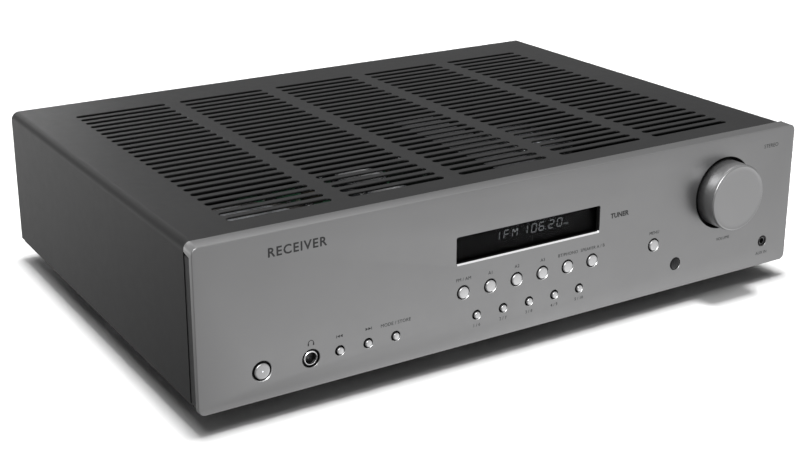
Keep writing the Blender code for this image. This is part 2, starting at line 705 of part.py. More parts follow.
def build_line_sockets():
    middle = (SOCKET_MIDDLE, sum(SOCKET_ROWS) / 2)
    bm = prism(bmesh.new(), "Y", around(middle, 130.0, 44.0, 2.0), REAR_BACK + GAP, 302.4)
    block = make_object("line_socket_block", bm, (middle[0], 302.4, middle[1]), "black_plastic")
    added = prism(bmesh.new(), "Y", around(middle, 126.0, 38.0), 288.0, 301.5)
    socket = [(0, 302.0), (5.8, 302.0), (5.8, 303.4), (4.15, 303.4), (4.15, 311.0), (0, 311.0)]
    holes = bmesh.new()
    for column in range(SOCKET_COLUMNS):
        x = SOCKET_MIDDLE + SOCKET_PITCH * (column - (SOCKET_COLUMNS - 1) / 2)
        for z in SOCKET_ROWS:
            turned(added, "Y", (x, z), socket, 12)
            pin(holes, "Y", (x, z), 1.7, 296.0, 312.0, 6)
    boolean(block, added, "UNION")
    smooth(boolean(block, holes))


def build_antenna_parts():
    x, z = ANTENNA_CENTRE
    bm = prism(bmesh.new(), "Y", around(ANTENNA_CENTRE, 36.0, 42.0, 2.0), REAR_BACK + GAP, 302.4)
    block = make_object("antenna_block", bm, (x, 302.4, z), "black_plastic")
    added = prism(bmesh.new(), "Y", around(ANTENNA_CENTRE, 32.0, 38.0), 288.0, 301.5)
    socket = [(0, 302.0), (6.2, 302.0), (6.2, 303.6), (4.7, 303.6), (4.7, 313.0), (0, 313.0)]
    turned(added, "Y", (x, z + 11.0), socket, 16)
    prism(added, "Y", around((x, z - 10.0), 32.0, 16.0), 302.0, 306.0)
    boolean(block, added, "UNION")
    pockets = bmesh.new()
    holes = pin(bmesh.new(), "Y", (x, z + 11.0), 1.2, 304.0, 314.0, 8)
    for lever_x in LEVER_X:
        box(pockets, (lever_x - 5.6, 300.0, z - 15.6), (lever_x + 5.6, 307.0, z - 4.4))
        pin(holes, "Y", (lever_x, z - 13.6), 1.5, 294.0, 301.0, 8)
    boolean(block, pockets)
    smooth(boolean(block, holes))
    pivot = (305.0, z - 6.6)
    for name, lever_x in zip(("am_lever_left", "am_lever_right"), LEVER_X):
        shape = arc(*pivot, 1.4, 20, 200, 5)
        shape += [(303.6, z - 11.0), (305.4, z - 11.2), (311.0, z - 9.2), (311.0, z - 7.8)]
        bm = prism(bmesh.new(), "X", shape, lever_x - 5.2, lever_x + 5.2)
        make_object(name, bm, (lever_x, *pivot), "grey_plastic")
    x, z = GROUND_CENTRE
    thumbscrew = [
        (0, 308.0),
        (4.4, 308.0),
        (5.0, 307.4),
        (5.0, 302.4),
        (3.4, 302.0),
        (3.4, 300.8),
        (2.0, 300.8),
        (2.0, 293.0),
        (0, 293.0),
    ]
    bm = turned(bmesh.new(), "Y", GROUND_CENTRE, thumbscrew, 16)
    smooth(make_object("ground_terminal", bm, (x, 300.8, z), "gold"))


build_front_panel()
build_fascia_frame()
build_top_cover()
build_base_chassis()
build_rear_panel()
build_feet()
build_buttons()
build_volume()
build_jacks()
build_display()
build_front_board()
build_internals()
build_mains_parts()
build_speaker_terminals()
build_line_sockets()
build_antenna_parts()
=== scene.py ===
"""Looks of the stereo receiver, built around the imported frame.

Each side of the receiver has a working plane with millimetres to the right, up and out of the surface, so
outlines and profiles read as they would on a drawing of that side. Places come from the frame's nodes."""
import math
import random
from functools import partial

import bmesh
import bpy
from mathutils import Matrix, Vector


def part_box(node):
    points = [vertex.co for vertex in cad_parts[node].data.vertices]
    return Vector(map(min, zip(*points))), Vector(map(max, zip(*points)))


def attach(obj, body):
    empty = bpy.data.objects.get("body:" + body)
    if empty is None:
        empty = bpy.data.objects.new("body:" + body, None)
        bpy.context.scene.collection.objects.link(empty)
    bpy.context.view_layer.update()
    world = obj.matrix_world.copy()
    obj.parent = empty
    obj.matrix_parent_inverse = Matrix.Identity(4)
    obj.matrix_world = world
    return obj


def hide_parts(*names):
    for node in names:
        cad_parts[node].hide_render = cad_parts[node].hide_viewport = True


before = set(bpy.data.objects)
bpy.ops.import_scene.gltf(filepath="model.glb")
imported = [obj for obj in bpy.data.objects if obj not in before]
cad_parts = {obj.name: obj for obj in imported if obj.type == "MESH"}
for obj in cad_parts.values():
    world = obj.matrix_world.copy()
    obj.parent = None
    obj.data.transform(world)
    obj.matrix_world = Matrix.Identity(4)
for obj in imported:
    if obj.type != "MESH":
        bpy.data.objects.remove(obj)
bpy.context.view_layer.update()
scene = bpy.context.scene

MM = 0.001
ROOT = "receiver"
SIDES = {
    "front": ((1, 0, 0), (0, 0, 1), (0, -1, 0)),
    "rear": ((-1, 0, 0), (0, 0, 1), (0, 1, 0)),
    "top": ((1, 0, 0), (0, 1, 0), (0, 0, 1)),
    "under": ((1, 0, 0), (0, -1, 0), (0, 0, -1)),
    "left": ((0, -1, 0), (0, 0, 1), (-1, 0, 0)),
}

# ---- sizes that the CAD shares, in millimetres ----
PLATE = 3.1
PANEL_RADIUS = 4.0
LIP_THICK = 1.8
LIP_END_FRONT = 88.5
LIP_END_BACK = 89.8
LIP_FALL = 0.4
WEB_FRONT = -9.0
COVER_RADIUS = 5.5
COVER_SHEET = 1.0
VENT_COLUMNS = 5
VENT_ROWS = 26
VENT_LENGTH = 63.4
VENT_WIDTH = 4.6
VENT_COLUMN_PITCH = 74.7
VENT_FIRST = 18.9
VENT_SPAN = 236.0
KNOB_HOLE = 23.8
HEADPHONE_HOLE = 5.4
AUX_HOLE = 3.75
IR_HOLE = 4.25
DISPLAY_WIDTH = 104.4
DISPLAY_HEIGHT = 16.4
BUTTON_HOLES = {"power": 5.7, "large": 4.35, "small": 3.0}
BUTTON_CAPS = {"power": 4.6, "large": 3.6, "small": 2.1}
BUTTON_CHAMFERS = {"power": 0.42, "large": 0.32, "small": 0.24}
TERMINAL_PITCH = 19.0
SOCKET_PITCH = 18.0
SOCKET_COLUMNS = 7
SOCKET_ROW = 11.0
LEVER_PIVOT_OUT = 4.6
ROCKER_PIVOT_OUT = -1.4
INK = 0.05

LARGE_BUTTONS = ("fm_am", "source_1", "source_2", "source_3", "bt_phono", "speaker", "menu")
SMALL_BUTTONS = ("tune_down", "tune_up", "mode", *[f"preset_{k}" for k in range(1, 6)])
BUTTON_KIND = {"power_button": "power"}
BUTTON_KIND.update({name + "_button": "large" for name in LARGE_BUTTONS})
BUTTON_KIND.update({name + "_button": "small" for name in SMALL_BUTTONS})


# ---- working planes ----
def plane(side, point):
    """The matrix that takes millimetres (right, up, out) on a side, about a point, into the frame."""
    turn = Matrix(SIDES[side]).transposed().to_4x4()
    return Matrix.Translation(point) @ turn @ Matrix.Scale(MM, 4)


def centre_of(node):
    """The middle of a node's box."""
    low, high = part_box(node)
    return (low + high) / 2


def size_of(node):
    """A node's width, depth and height."""
    return [(b - a) / MM for a, b in zip(*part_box(node))]


panel_low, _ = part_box("front_panel")
cover_low, cover_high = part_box("top_cover")
rear_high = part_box("rear_panel")[1]
base_low, base_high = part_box("base_chassis")
FRONT = plane("front", Vector((0, panel_low.y, panel_low.z)))
REAR = plane("rear", Vector((0, rear_high.y, panel_low.z)))
TOP = plane("top", Vector((0, cover_low.y, cover_high.z)))
UNDER = plane("under", Vector((0, 0, base_low.z)))
HALF_WIDTH = size_of("front_panel")[0] / 2
PANEL_HEIGHT = size_of("front_panel")[2]


def spot(node, matrix=FRONT):
    """A node's middle as (right, up) on a working plane."""
    place = matrix.inverted() @ centre_of(node)
    return place.x, place.y


def reach(node, matrix):
    """How far a node stands out of a working plane, as (lowest, highest)."""
    ends = [(matrix.inverted() @ corner).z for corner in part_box(node)]
    return min(ends), max(ends)


def standing(node, level=None):
    """A plane that faces up about a node's middle, on the node's underside unless a level is given."""
    middle = centre_of(node)
    return plane("top", Vector((middle.x, middle.y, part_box(node)[0].z if level is None else level)))


# ---- outlines and profiles ----
def arc(cx, cy, radius, first, last, steps):
    angles = [math.radians(first + (last - first) * k / steps) for k in range(steps + 1)]
    return [(cx + radius * math.cos(a), cy + radius * math.sin(a)) for a in angles]


def rounded(cx, cy, width, height, radius, steps=8):
    """A rectangle with round corners about a centre."""
    u, v = width / 2 - radius, height / 2 - radius
    outline = []
    for du, dv, first in ((u, -v, -90), (u, v, 0), (-u, v, 90), (-u, -v, 180)):
        outline += arc(cx + du, cy + dv, radius, first, first + 90, steps)
    return outline


def arch(half, bottom, top, radius, thick, steps=14):
    """A sheet bent over both top corners, open at the bottom."""
    outer = [(-half, bottom)] + arc(radius - half, top - radius, radius, 180, 90, steps)
    outer += arc(half - radius, top - radius, radius, 90, 0, steps) + [(half, bottom)]
    inner = [(half - thick, bottom)] + arc(half - radius, top - radius, radius - thick, 0, 90, steps)
    inner += arc(radius - half, top - radius, radius - thick, 90, 180, steps) + [(thick - half, bottom)]
    return outer + inner


def shrunk(outline, share):
    """An outline drawn in towards its middle."""
    cu = sum(u for u, _ in outline) / len(outline)
    cv = sum(v for _, v in outline) / len(outline)
    return [(cu + (u - cu) * share, cv + (v - cv) * share) for u, v in outline]


def rod(radius, low, high):
    """The profile of a plain pin."""
    return [(0, high), (radius, high), (radius, low), (0, low)]


def tube(inner, outer, low, high):
    """The profile of a plain sleeve."""
    return [(inner, low), (outer, low), (outer, high), (inner, high)]


def easing(edge, steps):
    """The (inset, depth) of each ring of a rounded edge, from the side to the face."""
    turns = [math.pi / 2 * k / steps for k in range(steps + 1)]
    return [(edge * (1 - math.cos(turn)), edge * (1 - math.sin(turn))) for turn in turns]


# ---- meshes ----
def skin(bm, matrix, sections, finish=0, closed=False):
    """A skin through outlines of equal length, given as (outline, height). It is capped unless it closes.

    The finish is one number, or a list with one for each band."""
    rings = [[bm.verts.new(matrix @ Vector((u, v, h))) for u, v in outline] for outline, h in sections]
    pairs = list(zip(rings, rings[1:]))
    if closed:
        pairs.append((rings[-1], rings[0]))
    finishes = [finish] * len(pairs) if isinstance(finish, int) else finish
    if not closed:
        bm.faces.new(rings[0]).material_index = finishes[0]
        bm.faces.new(rings[-1]).material_index = finishes[-1]
    count = len(rings[0])
    for (lower, upper), band in zip(pairs, finishes):
        for i in range(count):
            j = (i + 1) % count
            bm.faces.new((lower[i], lower[j], upper[j], upper[i])).material_index = band
    return bm


def prism(bm, matrix, outline, low, high, finish=0):
    return skin(bm, matrix, [(outline, low), (outline, high)], finish)


def slab(bm, matrix, width, height, radius, low, high, edge=0.3, centre=(0.0, 0.0), finish=0, steps=6):
    """A plate with round corners and a softened outer edge."""
    sections = [(rounded(*centre, width, height, radius, steps), low)]
    for inset, depth in easing(edge, 3):
        shape = rounded(*centre, width - 2 * inset, height - 2 * inset, max(radius - inset, 0.02), steps)
        sections.append((shape, high - depth))
    return skin(bm, matrix, sections, finish)


def turned(bm, matrix, profile, segments=48, closed=False, finish=0, centre=(0.0, 0.0), wobble=None):
    """A profile of (radius, height) turned about a centre. A wobble changes the radius with the angle."""
    cu, cv = centre
    rings = []
    for radius, height in profile:
        if radius == 0:
            rings.append([bm.verts.new(matrix @ Vector((cu, cv, height)))])
            continue
        ring = []
        for k in range(segments):
            a = 2 * math.pi * k / segments
            r = radius if wobble is None else radius + wobble(a, radius)
            ring.append(bm.verts.new(matrix @ Vector((cu + r * math.cos(a), cv + r * math.sin(a), height))))
        rings.append(ring)
    pairs = list(zip(rings, rings[1:]))
    if closed:
        pairs.append((rings[-1], rings[0]))
    finishes = [finish] * len(pairs) if isinstance(finish, int) else finish
    for (first, second), band in zip(pairs, finishes):
        for k in range(segments):
            n = (k + 1) % segments
            if len(first) == 1:
                corners = (first[0], second[n], second[k])
            elif len(second) == 1:
                corners = (first[k], first[n], second[0])
            else:
                corners = (first[k], first[n], second[n], second[k])
            bm.faces.new(corners).material_index = band
    return bm


def bar(bm, matrix, start, end, width, low, high, finish=0):
    """A straight stroke between two points."""
    a, b = Vector(start), Vector(end)
    along = (b - a).normalized()
    side = Vector((-along.y, along.x)) * width / 2
    outline = [tuple(a - side), tuple(b - side), tuple(b + side), tuple(a + side)]
    return prism(bm, matrix, outline, low, high, finish)


def moulded(matrix, outline, half, edge=0.3, share=0.94):
    """A side view given as (out, up), swept sideways both ways, with its ends eased."""
    sideways = matrix @ Matrix.Rotation(math.radians(-90), 4, "Y")
    ends = ((-half, share), (edge - half, 1.0), (half - edge, 1.0), (half, share))
    return skin(bmesh.new(), sideways, [(shrunk(outline, part), place) for place, part in ends])


def scallops(count, depth, above):
    """A wobble that cuts even grooves where a profile's radius is above a limit."""
    return lambda angle, radius: depth * (math.cos(count * angle) - 1) if radius > above else 0.0


# ---- pieces ----
def new_object(name, bm):
    """An object made from a mesh that is being built."""
    bmesh.ops.recalc_face_normals(bm, faces=bm.faces)
    mesh = bpy.data.meshes.new(name)
    bm.to_mesh(mesh)
    bm.free()
    made = bpy.data.objects.new(name, mesh)
    scene.collection.objects.link(made)
    return made


def shade(made, sharp):
    made.data.shade_smooth()
    made.data.set_sharp_from_angle(angle=math.radians(sharp))


def piece(name, bm, finishes, body=ROOT, stands_for=None, sharp=35.0):
    """Makes a piece that rides on a body. It hides the CAD node that it stands for, or it is a further
    part of a node, or it is decor."""
    made = new_object(name, bm)
    for finish in finishes:
        made.data.materials.append(FINISH[finish])
    shade(made, sharp)
    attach(made, body)
    if stands_for:
        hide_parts(stands_for)
    return made


def carve(made, tool_mesh, operation="DIFFERENCE", sharp=35.0):
    """Cuts a mesh out of a piece, or joins it on."""
    tool = new_object("tool", tool_mesh)
    modifier = made.modifiers.new("carve", "BOOLEAN")
    modifier.operation = operation
    modifier.solver = "EXACT"
    modifier.object = tool
    bpy.context.view_layer.update()
    evaluated = made.evaluated_get(bpy.context.evaluated_depsgraph_get())
    mesh = bpy.data.meshes.new_from_object(evaluated)
    made.modifiers.clear()
    old = made.data
    made.data = mesh
    bpy.data.meshes.remove(old)
    shade(made, sharp)
    bpy.data.objects.remove(tool)


def lettering(bm, matrix, text, u, v, size, align="CENTER", weight=0.0, spacing=1.04):
    """Adds raised ink lettering, with its middle at a height on the plane."""
    curve = bpy.data.curves.new("lettering", "FONT")
    curve.body = text
    curve.size = size
    curve.align_x = align
    curve.align_y = "CENTER"
    curve.extrude = 0.02
    curve.offset = weight
    curve.resolution_u = 3
    curve.space_character = spacing
    holder = bpy.data.objects.new("lettering", curve)
    scene.collection.objects.link(holder)
    bpy.context.view_layer.update()
    mesh = bpy.data.meshes.new_from_object(holder.evaluated_get(bpy.context.evaluated_depsgraph_get()))
    mesh.transform(matrix @ Matrix.Translation((u, v, INK / 2)))
    mesh.materials.clear()
    bm.from_mesh(mesh)
    bpy.data.objects.remove(holder)
    bpy.data.curves.remove(curve)
    bpy.data.meshes.remove(mesh)


# ---- finishes ----
def add(tree, kind, settings=None, **sockets):
    """Adds a shader node. Sockets, by name or as i and a number, take a value or another node's output."""
    made = tree.nodes.new("ShaderNode" + kind)
    for key, value in (settings or {}).items():
        setattr(made, key, value)
    for key, value in sockets.items():
        numbered = key[0] == "i" and key[1:].isdigit()
        socket = made.inputs[int(key[1:]) if numbered else key.replace("_", " ")]
        if isinstance(value, bpy.types.NodeSocket):
            tree.links.new(value, socket)
        else:
            socket.default_value = value
    return made


def calc(tree, operation, first, second=0.0):
    return add(tree, "Math", {"operation": operation}, i0=first, i1=second).outputs[0]


def noise(tree, place, scale, detail, stretch=(1, 1, 1)):
    """A noise value over an object's own coordinates, with its scale in repeats per metre."""
    moved = add(tree, "Mapping", Vector=place, Scale=tuple(scale * s for s in stretch))
    return add(tree, "TexNoise", Vector=moved.outputs["Vector"], Scale=1.0, Detail=detail).outputs["Fac"]


def between(tree, value, low, high, from_low=0.3, from_high=0.7):
    """A value's range stretched onto another one, and held at its ends."""
    return add(tree, "MapRange", i0=value, i1=from_low, i2=from_high, i3=low, i4=high).outputs[0]


def blend_colours(tree, value, first, second):
    made = add(tree, "Mix", {"data_type": "RGBA"}, i0=value)
    for socket, colour in ((made.inputs[6], first), (made.inputs[7], second)):
        if isinstance(colour, bpy.types.NodeSocket):
            tree.links.new(colour, socket)
        else:
            socket.default_value = (*colour, 1.0)
    return made.outputs[2]


def surface(
    name, colour, rough, metal=0.0, grain_mm=0.4, bump=0.1, stretch=(1, 1, 1), patch=0.08, spread=0.05,
    specular=0.5, coat=0.0, height=None, depth_mm=0.05, tint=None,
):
    """A finish with colour patches, a fine grain in its roughness and relief, and sparse handling marks.

    height is a function of (tree, coordinates) that replaces the grain as relief, and tint one that
    replaces the colour."""
    made = bpy.data.materials.new(name)
    made.use_nodes = True
    tree = made.node_tree
    shader = tree.nodes["Principled BSDF"]
    place = add(tree, "TexCoord").outputs["Object"]
    fine = noise(tree, place, 1 / (grain_mm * MM), 3.0, stretch)
    broad = noise(tree, place, 22.0, 3.0)
    marks = noise(tree, place, 160.0, 6.0)
    dark = tuple(c * (1 - patch) for c in colour)
    light = tuple(min(c * (1 + patch), 1.0) for c in colour)
    shown = blend_colours(tree, between(tree, broad, 0.0, 1.0), dark, light)
    if tint:
        shown = tint(tree, place, shown)
    tree.links.new(shown, shader.inputs["Base Color"])
    worn = calc(tree, "MULTIPLY", between(tree, marks, -0.5, 0.5), spread)
    fine_rough = between(tree, fine, rough - spread, rough + spread)
    total = add(tree, "Math", {"operation": "ADD", "use_clamp": True}, i0=fine_rough, i1=worn)
    tree.links.new(total.outputs[0], shader.inputs["Roughness"])
    shader.inputs["Metallic"].default_value = metal
    shader.inputs["Specular IOR Level"].default_value = specular
    shader.inputs["Coat Weight"].default_value = coat
    relief = height(tree, place) if height else fine
    bumped = add(tree, "Bump", Strength=bump, Distance=depth_mm * MM, Height=relief)
    tree.links.new(bumped.outputs["Normal"], shader.inputs["Normal"])
    return made


def about(tree, place, node):
    """Coordinates about a node's middle."""
    middle = tuple(centre_of(node))
    return add(tree, "VectorMath", {"operation": "SUBTRACT"}, i0=place, i1=middle).outputs[0]


def spun(tree, place):
    """Relief of fine rings about the knob's middle, as a lathe leaves them."""
    moved = about(tree, place, "volume_knob")
    flat = add(tree, "VectorMath", {"operation": "MULTIPLY"}, i0=moved, i1=(1, 0, 1)).outputs[0]
    radius = add(tree, "VectorMath", {"operation": "LENGTH"}, i0=flat).outputs["Value"]
    turns = calc(tree, "MULTIPLY", radius, 9000.0)
    return add(tree, "TexNoise", {"noise_dimensions": "1D"}, W=turns, Scale=1.0, Detail=2.0).outputs[0]


def ridges(tree, place):
    """Relief of the even cores of a ribbon cable, side by side."""
    settings = {"wave_type": "BANDS", "bands_direction": "X"}
    return add(tree, "TexWave", settings, Vector=place, Scale=790.0 / 3.14, Distortion=0.0).outputs["Fac"]


def board_tracks(tree, place, shown):
    """Copper tracks and pads seen under a circuit board's lacquer."""
    shape = {"Mortar_Size": 0.06, "Brick_Width": 0.9, "Row_Height": 0.32}
    tracks = add(tree, "TexBrick", Vector=place, Scale=260.0, **shape).outputs["Fac"]
    lined = blend_colours(tree, calc(tree, "MULTIPLY", tracks, 0.55), shown, (0.015, 0.055, 0.028))
    pads = add(tree, "TexVoronoi", Vector=place, Scale=210.0).outputs["Distance"]
    return blend_colours(tree, calc(tree, "LESS_THAN", pads, 0.13), lined, (0.20, 0.20, 0.19))


def spangle(tree, place, shown):
    """The crystal pattern of zinc plating."""
    cells = add(tree, "TexVoronoi", Vector=place, Scale=130.0).outputs["Color"]
    grey = add(tree, "SeparateColor", i0=cells).outputs[0]
    return blend_colours(tree, calc(tree, "MULTIPLY", grey, 0.3), shown, (0.72, 0.74, 0.77))


def windings(tree, place, shown):
    """Overlapped turns of tape round a toroid."""
    x, y, _ = add(tree, "SeparateXYZ", i0=about(tree, place, "transformer")).outputs
    turns = calc(tree, "MULTIPLY", calc(tree, "ARCTAN2", y, x), 46.0)
    edge = between(tree, calc(tree, "SINE", turns), 0.0, 1.0, -1.0, 1.0)
    return blend_colours(tree, edge, shown, (0.016, 0.015, 0.013))


# colour, roughness, grain in millimetres, relief, colour patches, spread of the roughness
METALS = {
    "panel": ((0.165, 0.165, 0.1662), 0.36, 0.16, 0.10, 0.02, 0.03),
    # a lighter copy of the panel metal for the display opening's chamfer: a painted highlight on the ledge
    "painted_ledge_highlight": ((0.62, 0.62, 0.625), 0.22, 0.20, 0.04, 0.02, 0.03),
    # a lighter copy of the panel metal for the button holes' chamfers: a painted highlight on their lit
    # crescents
    "painted_chamfer_highlight": ((0.42, 0.42, 0.424), 0.36, 0.20, 0.04, 0.02, 0.03),
    "cap_metal": ((0.33, 0.33, 0.333), 0.30, 0.12, 0.06, 0.03, 0.04),
    "power_cap": ((0.265, 0.265, 0.268), 0.30, 0.12, 0.06, 0.03, 0.04),
    "dark_metal": ((0.11, 0.11, 0.113), 0.30, 0.20, 0.06, 0.05, 0.05),
    "bright_metal": ((0.55, 0.55, 0.555), 0.20, 0.30, 0.04, 0.03, 0.03),
    "dull_metal": ((0.42, 0.42, 0.43), 0.34, 0.20, 0.08, 0.06, 0.06),
    "gold": ((0.83, 0.60, 0.24), 0.20, 0.20, 0.05, 0.05, 0.05),
    "can_top": ((0.24, 0.24, 0.243), 0.34, 0.20, 0.10, 0.08, 0.06),
}
# the same, then the specular level and the weight of a clear coat
COATINGS = {
    "cover": ((0.007, 0.007, 0.0072), 0.42, 0.35, 0.30, 0.10, 0.025, 0.08, 0.0),
    "rear_paint": ((0.016, 0.016, 0.0165), 0.46, 0.35, 0.25, 0.10, 0.06, 0.4, 0.0),
    "frame_plastic": ((0.016, 0.016, 0.0165), 0.48, 0.30, 0.25, 0.08, 0.06, 0.12, 0.0),
    "black_plastic": ((0.018, 0.018, 0.019), 0.38, 0.22, 0.16, 0.08, 0.07, 0.5, 0.0),
    "gloss_black": ((0.006, 0.006, 0.007), 0.12, 0.80, 0.02, 0.08, 0.02, 0.16, 0.0),
    # near black: the real black of socket bores, button stems and the display body, and painted shade on the
    # panel's hole and window walls
    "near_black_and_painted_shade": ((0.004, 0.004, 0.004), 0.55, 0.50, 0.05, 0.08, 0.05, 0.2, 0.0),
    "red": ((0.42, 0.012, 0.012), 0.24, 0.30, 0.06, 0.05, 0.05, 0.5, 0.3),
    "white": ((0.66, 0.66, 0.64), 0.34, 0.30, 0.06, 0.03, 0.05, 0.5, 0.0),
    "rubber": ((0.022, 0.022, 0.022), 0.72, 0.50, 0.35, 0.20, 0.08, 0.5, 0.0),
    "foot_plastic": ((0.020, 0.020, 0.021), 0.34, 0.30, 0.12, 0.08, 0.06, 0.5, 0.0),
    "can_sleeve": ((0.010, 0.011, 0.014), 0.26, 0.70, 0.08, 0.08, 0.05, 0.5, 0.3),
    "chip": ((0.016, 0.016, 0.017), 0.42, 0.15, 0.20, 0.08, 0.05, 0.5, 0.0),
    "ceramic": ((0.050, 0.042, 0.032), 0.34, 0.40, 0.08, 0.20, 0.05, 0.5, 0.0),
    "dark_ink": ((0.010, 0.010, 0.011), 0.55, 0.15, 0.05, 0.08, 0.05, 0.3, 0.0),
    "white_ink": ((0.62, 0.62, 0.61), 0.55, 0.15, 0.05, 0.08, 0.05, 0.3, 0.0),
}
# colour, roughness, metal, grain in millimetres, relief, then what sets the finish apart
PATTERNED = {
    "knob_face": (
        (0.195, 0.195, 0.1965), 0.33, 1.0, 0.2, 0.12, {"patch": 0.02, "spread": 0.03, "height": spun}
    ),
    "knob_side": (
        (0.36, 0.36, 0.363), 0.30, 0.87, 0.12, 0.03, {"stretch": (1, 14, 1), "patch": 0.02, "spread": 0.01},
    ),
    "zinc": ((0.50, 0.51, 0.53), 0.34, 0.9, 0.5, 0.08, {"spread": 0.08, "tint": spangle}),
    "brass": ((0.46, 0.40, 0.27), 0.30, 1.0, 0.2, 0.08, {"stretch": (1, 8, 1), "spread": 0.08}),
    "board": ((0.006, 0.022, 0.012), 0.34, 0.0, 0.6, 0.15, {"spread": 0.06, "tint": board_tracks}),
    "tape": ((0.035, 0.032, 0.028), 0.30, 0.0, 0.6, 0.25, {"tint": windings, "coat": 0.3}),
    "sink": ((0.030, 0.030, 0.032), 0.40, 0.35, 0.3, 0.25, {"stretch": (1, 0.05, 1), "spread": 0.08}),
    "ribbon": ((0.07, 0.07, 0.072), 0.42, 0.0, 0.4, 0.8, {"height": ridges, "depth_mm": 0.4}),
}
FINISH = {}
for key, (colour, rough, grain, bump, patch, spread) in METALS.items():
    FINISH[key] = surface(key, colour, rough, 1.0, grain, bump, patch=patch, spread=spread)
for key, (colour, rough, grain, bump, patch, spread, specular, coat) in COATINGS.items():
    options = {"patch": patch, "spread": spread, "specular": specular, "coat": coat}
    FINISH[key] = surface(key, colour, rough, 0.0, grain, bump, **options)
for key, (*values, options) in PATTERNED.items():
    FINISH[key] = surface(key, *values, **options)


def glowing(name, colour, strength, unlit):
    """A faintly lit lens or segment."""
    made = surface(name, tuple(c * unlit for c in colour), 0.3, 0.0, 0.2, 0.02, specular=0.2)
    shader = made.node_tree.nodes["Principled BSDF"]
    shader.inputs["Emission Color"].default_value = (*colour, 1.0)
    shader.inputs["Emission Strength"].default_value = strength
    return made


FINISH["segments"] = glowing("segments", (0.92, 0.96, 1.0), 0.42, 0.06)
FINISH["led"] = glowing("led", (0.95, 0.97, 1.0), 0.7, 0.8)
FINISH["window"] = surface("window", (0.004, 0.004, 0.005), 0.06, 0.0, 1.2, 0.01, spread=0.02, specular=0.03)
FINISH["window"].node_tree.nodes["Principled BSDF"].inputs["Alpha"].default_value = 0.34


# ---- front panel, frame and casing ----
def build_front_panel():
    depth = -reach("front_panel", FRONT)[0]
    seam_fall = LIP_FALL * (1 - PLATE / depth)

    def face(inset, fall):
        """The panel's outline, with its top edge lower by the fall."""
        size = (2 * (HALF_WIDTH - inset), PANEL_HEIGHT - fall - 2 * inset)
        return rounded(0.0, (PANEL_HEIGHT - fall) / 2, *size, PANEL_RADIUS - inset, 12)

    def lip(inset, bottom, fall):
        top = PANEL_HEIGHT - fall - inset
        return arch(HALF_WIDTH - inset, bottom, top, PANEL_RADIUS - inset, LIP_THICK - 2 * inset, 12)

    sections = [(face(0.0, seam_fall), -PLATE)]
    sections += [(face(inset, LIP_FALL), -below) for inset, below in easing(0.5, 4)]
    finishes = ("panel", "painted_ledge_highlight", "near_black_and_painted_shade", "painted_chamfer_highlight")
    panel = piece("front_panel_metal", skin(bmesh.new(), FRONT, sections), finishes, stands_for="front_panel")
    tools = bmesh.new()

    def hole(node, radius, chamfer, edge_finish=0, segments=64):
        profile = [(0, 2), (radius + chamfer, 2), (radius + chamfer, 0.001), (radius, -chamfer)]
        profile += [(radius, -PLATE - 1), (0, -PLATE - 1)]
        # the hole's wall takes the near-black finish, painted shade where the panel's own metal would be
        turned(tools, FRONT, profile, segments, finish=[0, 0, edge_finish, 2, 2], centre=spot(node))

    for node, kind in BUTTON_KIND.items():
        # button hole chamfers take the lighter chamfer metal, a painted highlight
        hole(node, BUTTON_HOLES[kind], BUTTON_CHAMFERS[kind], 3)
    hole("headphone_jack", HEADPHONE_HOLE, 0.25)
    hole("aux_jack", AUX_HOLE, 0.12)
    hole("ir_window", IR_HOLE, 0.12)
    hole("volume_knob", KNOB_HOLE, 0.3, 0, 144)
    u, v = spot("display_window")
    side, ledge = 0.25, 0.85
    opening = rounded(u, v, DISPLAY_WIDTH, DISPLAY_HEIGHT, 1.0)
    size = (DISPLAY_WIDTH + 2 * side, DISPLAY_HEIGHT + side + ledge)
    wide = rounded(u, v + (side - ledge) / 2, *size, 1.0 + side)
    # the opening's chamfer takes the lighter ledge metal, a painted highlight
    shapes = [(wide, 2.0), (wide, 0.001), (opening, -ledge), (opening, -PLATE - 1)]
    # the window opening's walls take the near-black finish as painted shade
    skin(tools, FRONT, shapes, [0, 1, 2])
    carve(panel, tools, sharp=28.0)

    sections = [(lip(0.0, LIP_END_FRONT, seam_fall), -PLATE)]
    sections += [(lip(inset, LIP_END_BACK, 0.0), above - depth) for inset, above in easing(0.3, 3)]
    piece("panel_lip", skin(bmesh.new(), FRONT, sections), ("panel",), sharp=28.0)


def build_fascia_frame():
    depth = -reach("fascia_frame", FRONT)[0]
    half = HALF_WIDTH - 0.8
    top = PANEL_HEIGHT - LIP_THICK - 0.3
    inset = HALF_WIDTH - LIP_THICK - 0.3

    def outline(shrink):
        right = arc(half - 4.5, 5.1, 4.5 - shrink, -90, 0, 12)
        right += [(half - shrink, LIP_END_FRONT - 1.2), (inset - shrink, LIP_END_FRONT)]
        right += arc(inset - 3.0, top - 3.0, 3.0 - shrink, 0, 90, 8)
        return right + [(-u, v) for u, v in reversed(right)]

    front, edge, wall = -PLATE - 0.3, 0.1, 2.8
    levels = ((edge, front), (0.0, front - edge), (0.0, edge - depth), (edge, -depth))
    levels += ((wall, -depth), (wall, front))
    ring = skin(bmesh.new(), FRONT, [(outline(shrink), level) for shrink, level in levels], closed=True)
    piece("fascia_frame_moulding", ring, ("frame_plastic",), stands_for="fascia_frame")
    web = prism(bmesh.new(), FRONT, outline(wall + 0.1), WEB_FRONT, -depth)
    web_piece = piece("fascia_web", web, ("frame_plastic",))
    tools = bmesh.new()
    low, high = WEB_FRONT - 3, WEB_FRONT + 1
    bores = [(node, 2.0, 24) for node in BUTTON_KIND] + [("volume_knob", 5.0, 40), ("ir_window", 3.0, 32)]
    for node, radius, segments in bores:
        turned(tools, FRONT, rod(radius, low, high), segments, centre=spot(node))
    windows = [("headphone_jack", 13.0, 13.0, 0.5), ("aux_jack", 9.0, 9.0, 0.5)]
    windows.append(("display_module", 109.0, 21.0, 0.8))
    for node, *shape in windows:
        prism(tools, FRONT, rounded(*spot(node), *shape, 3), high, low)
    carve(web_piece, tools)


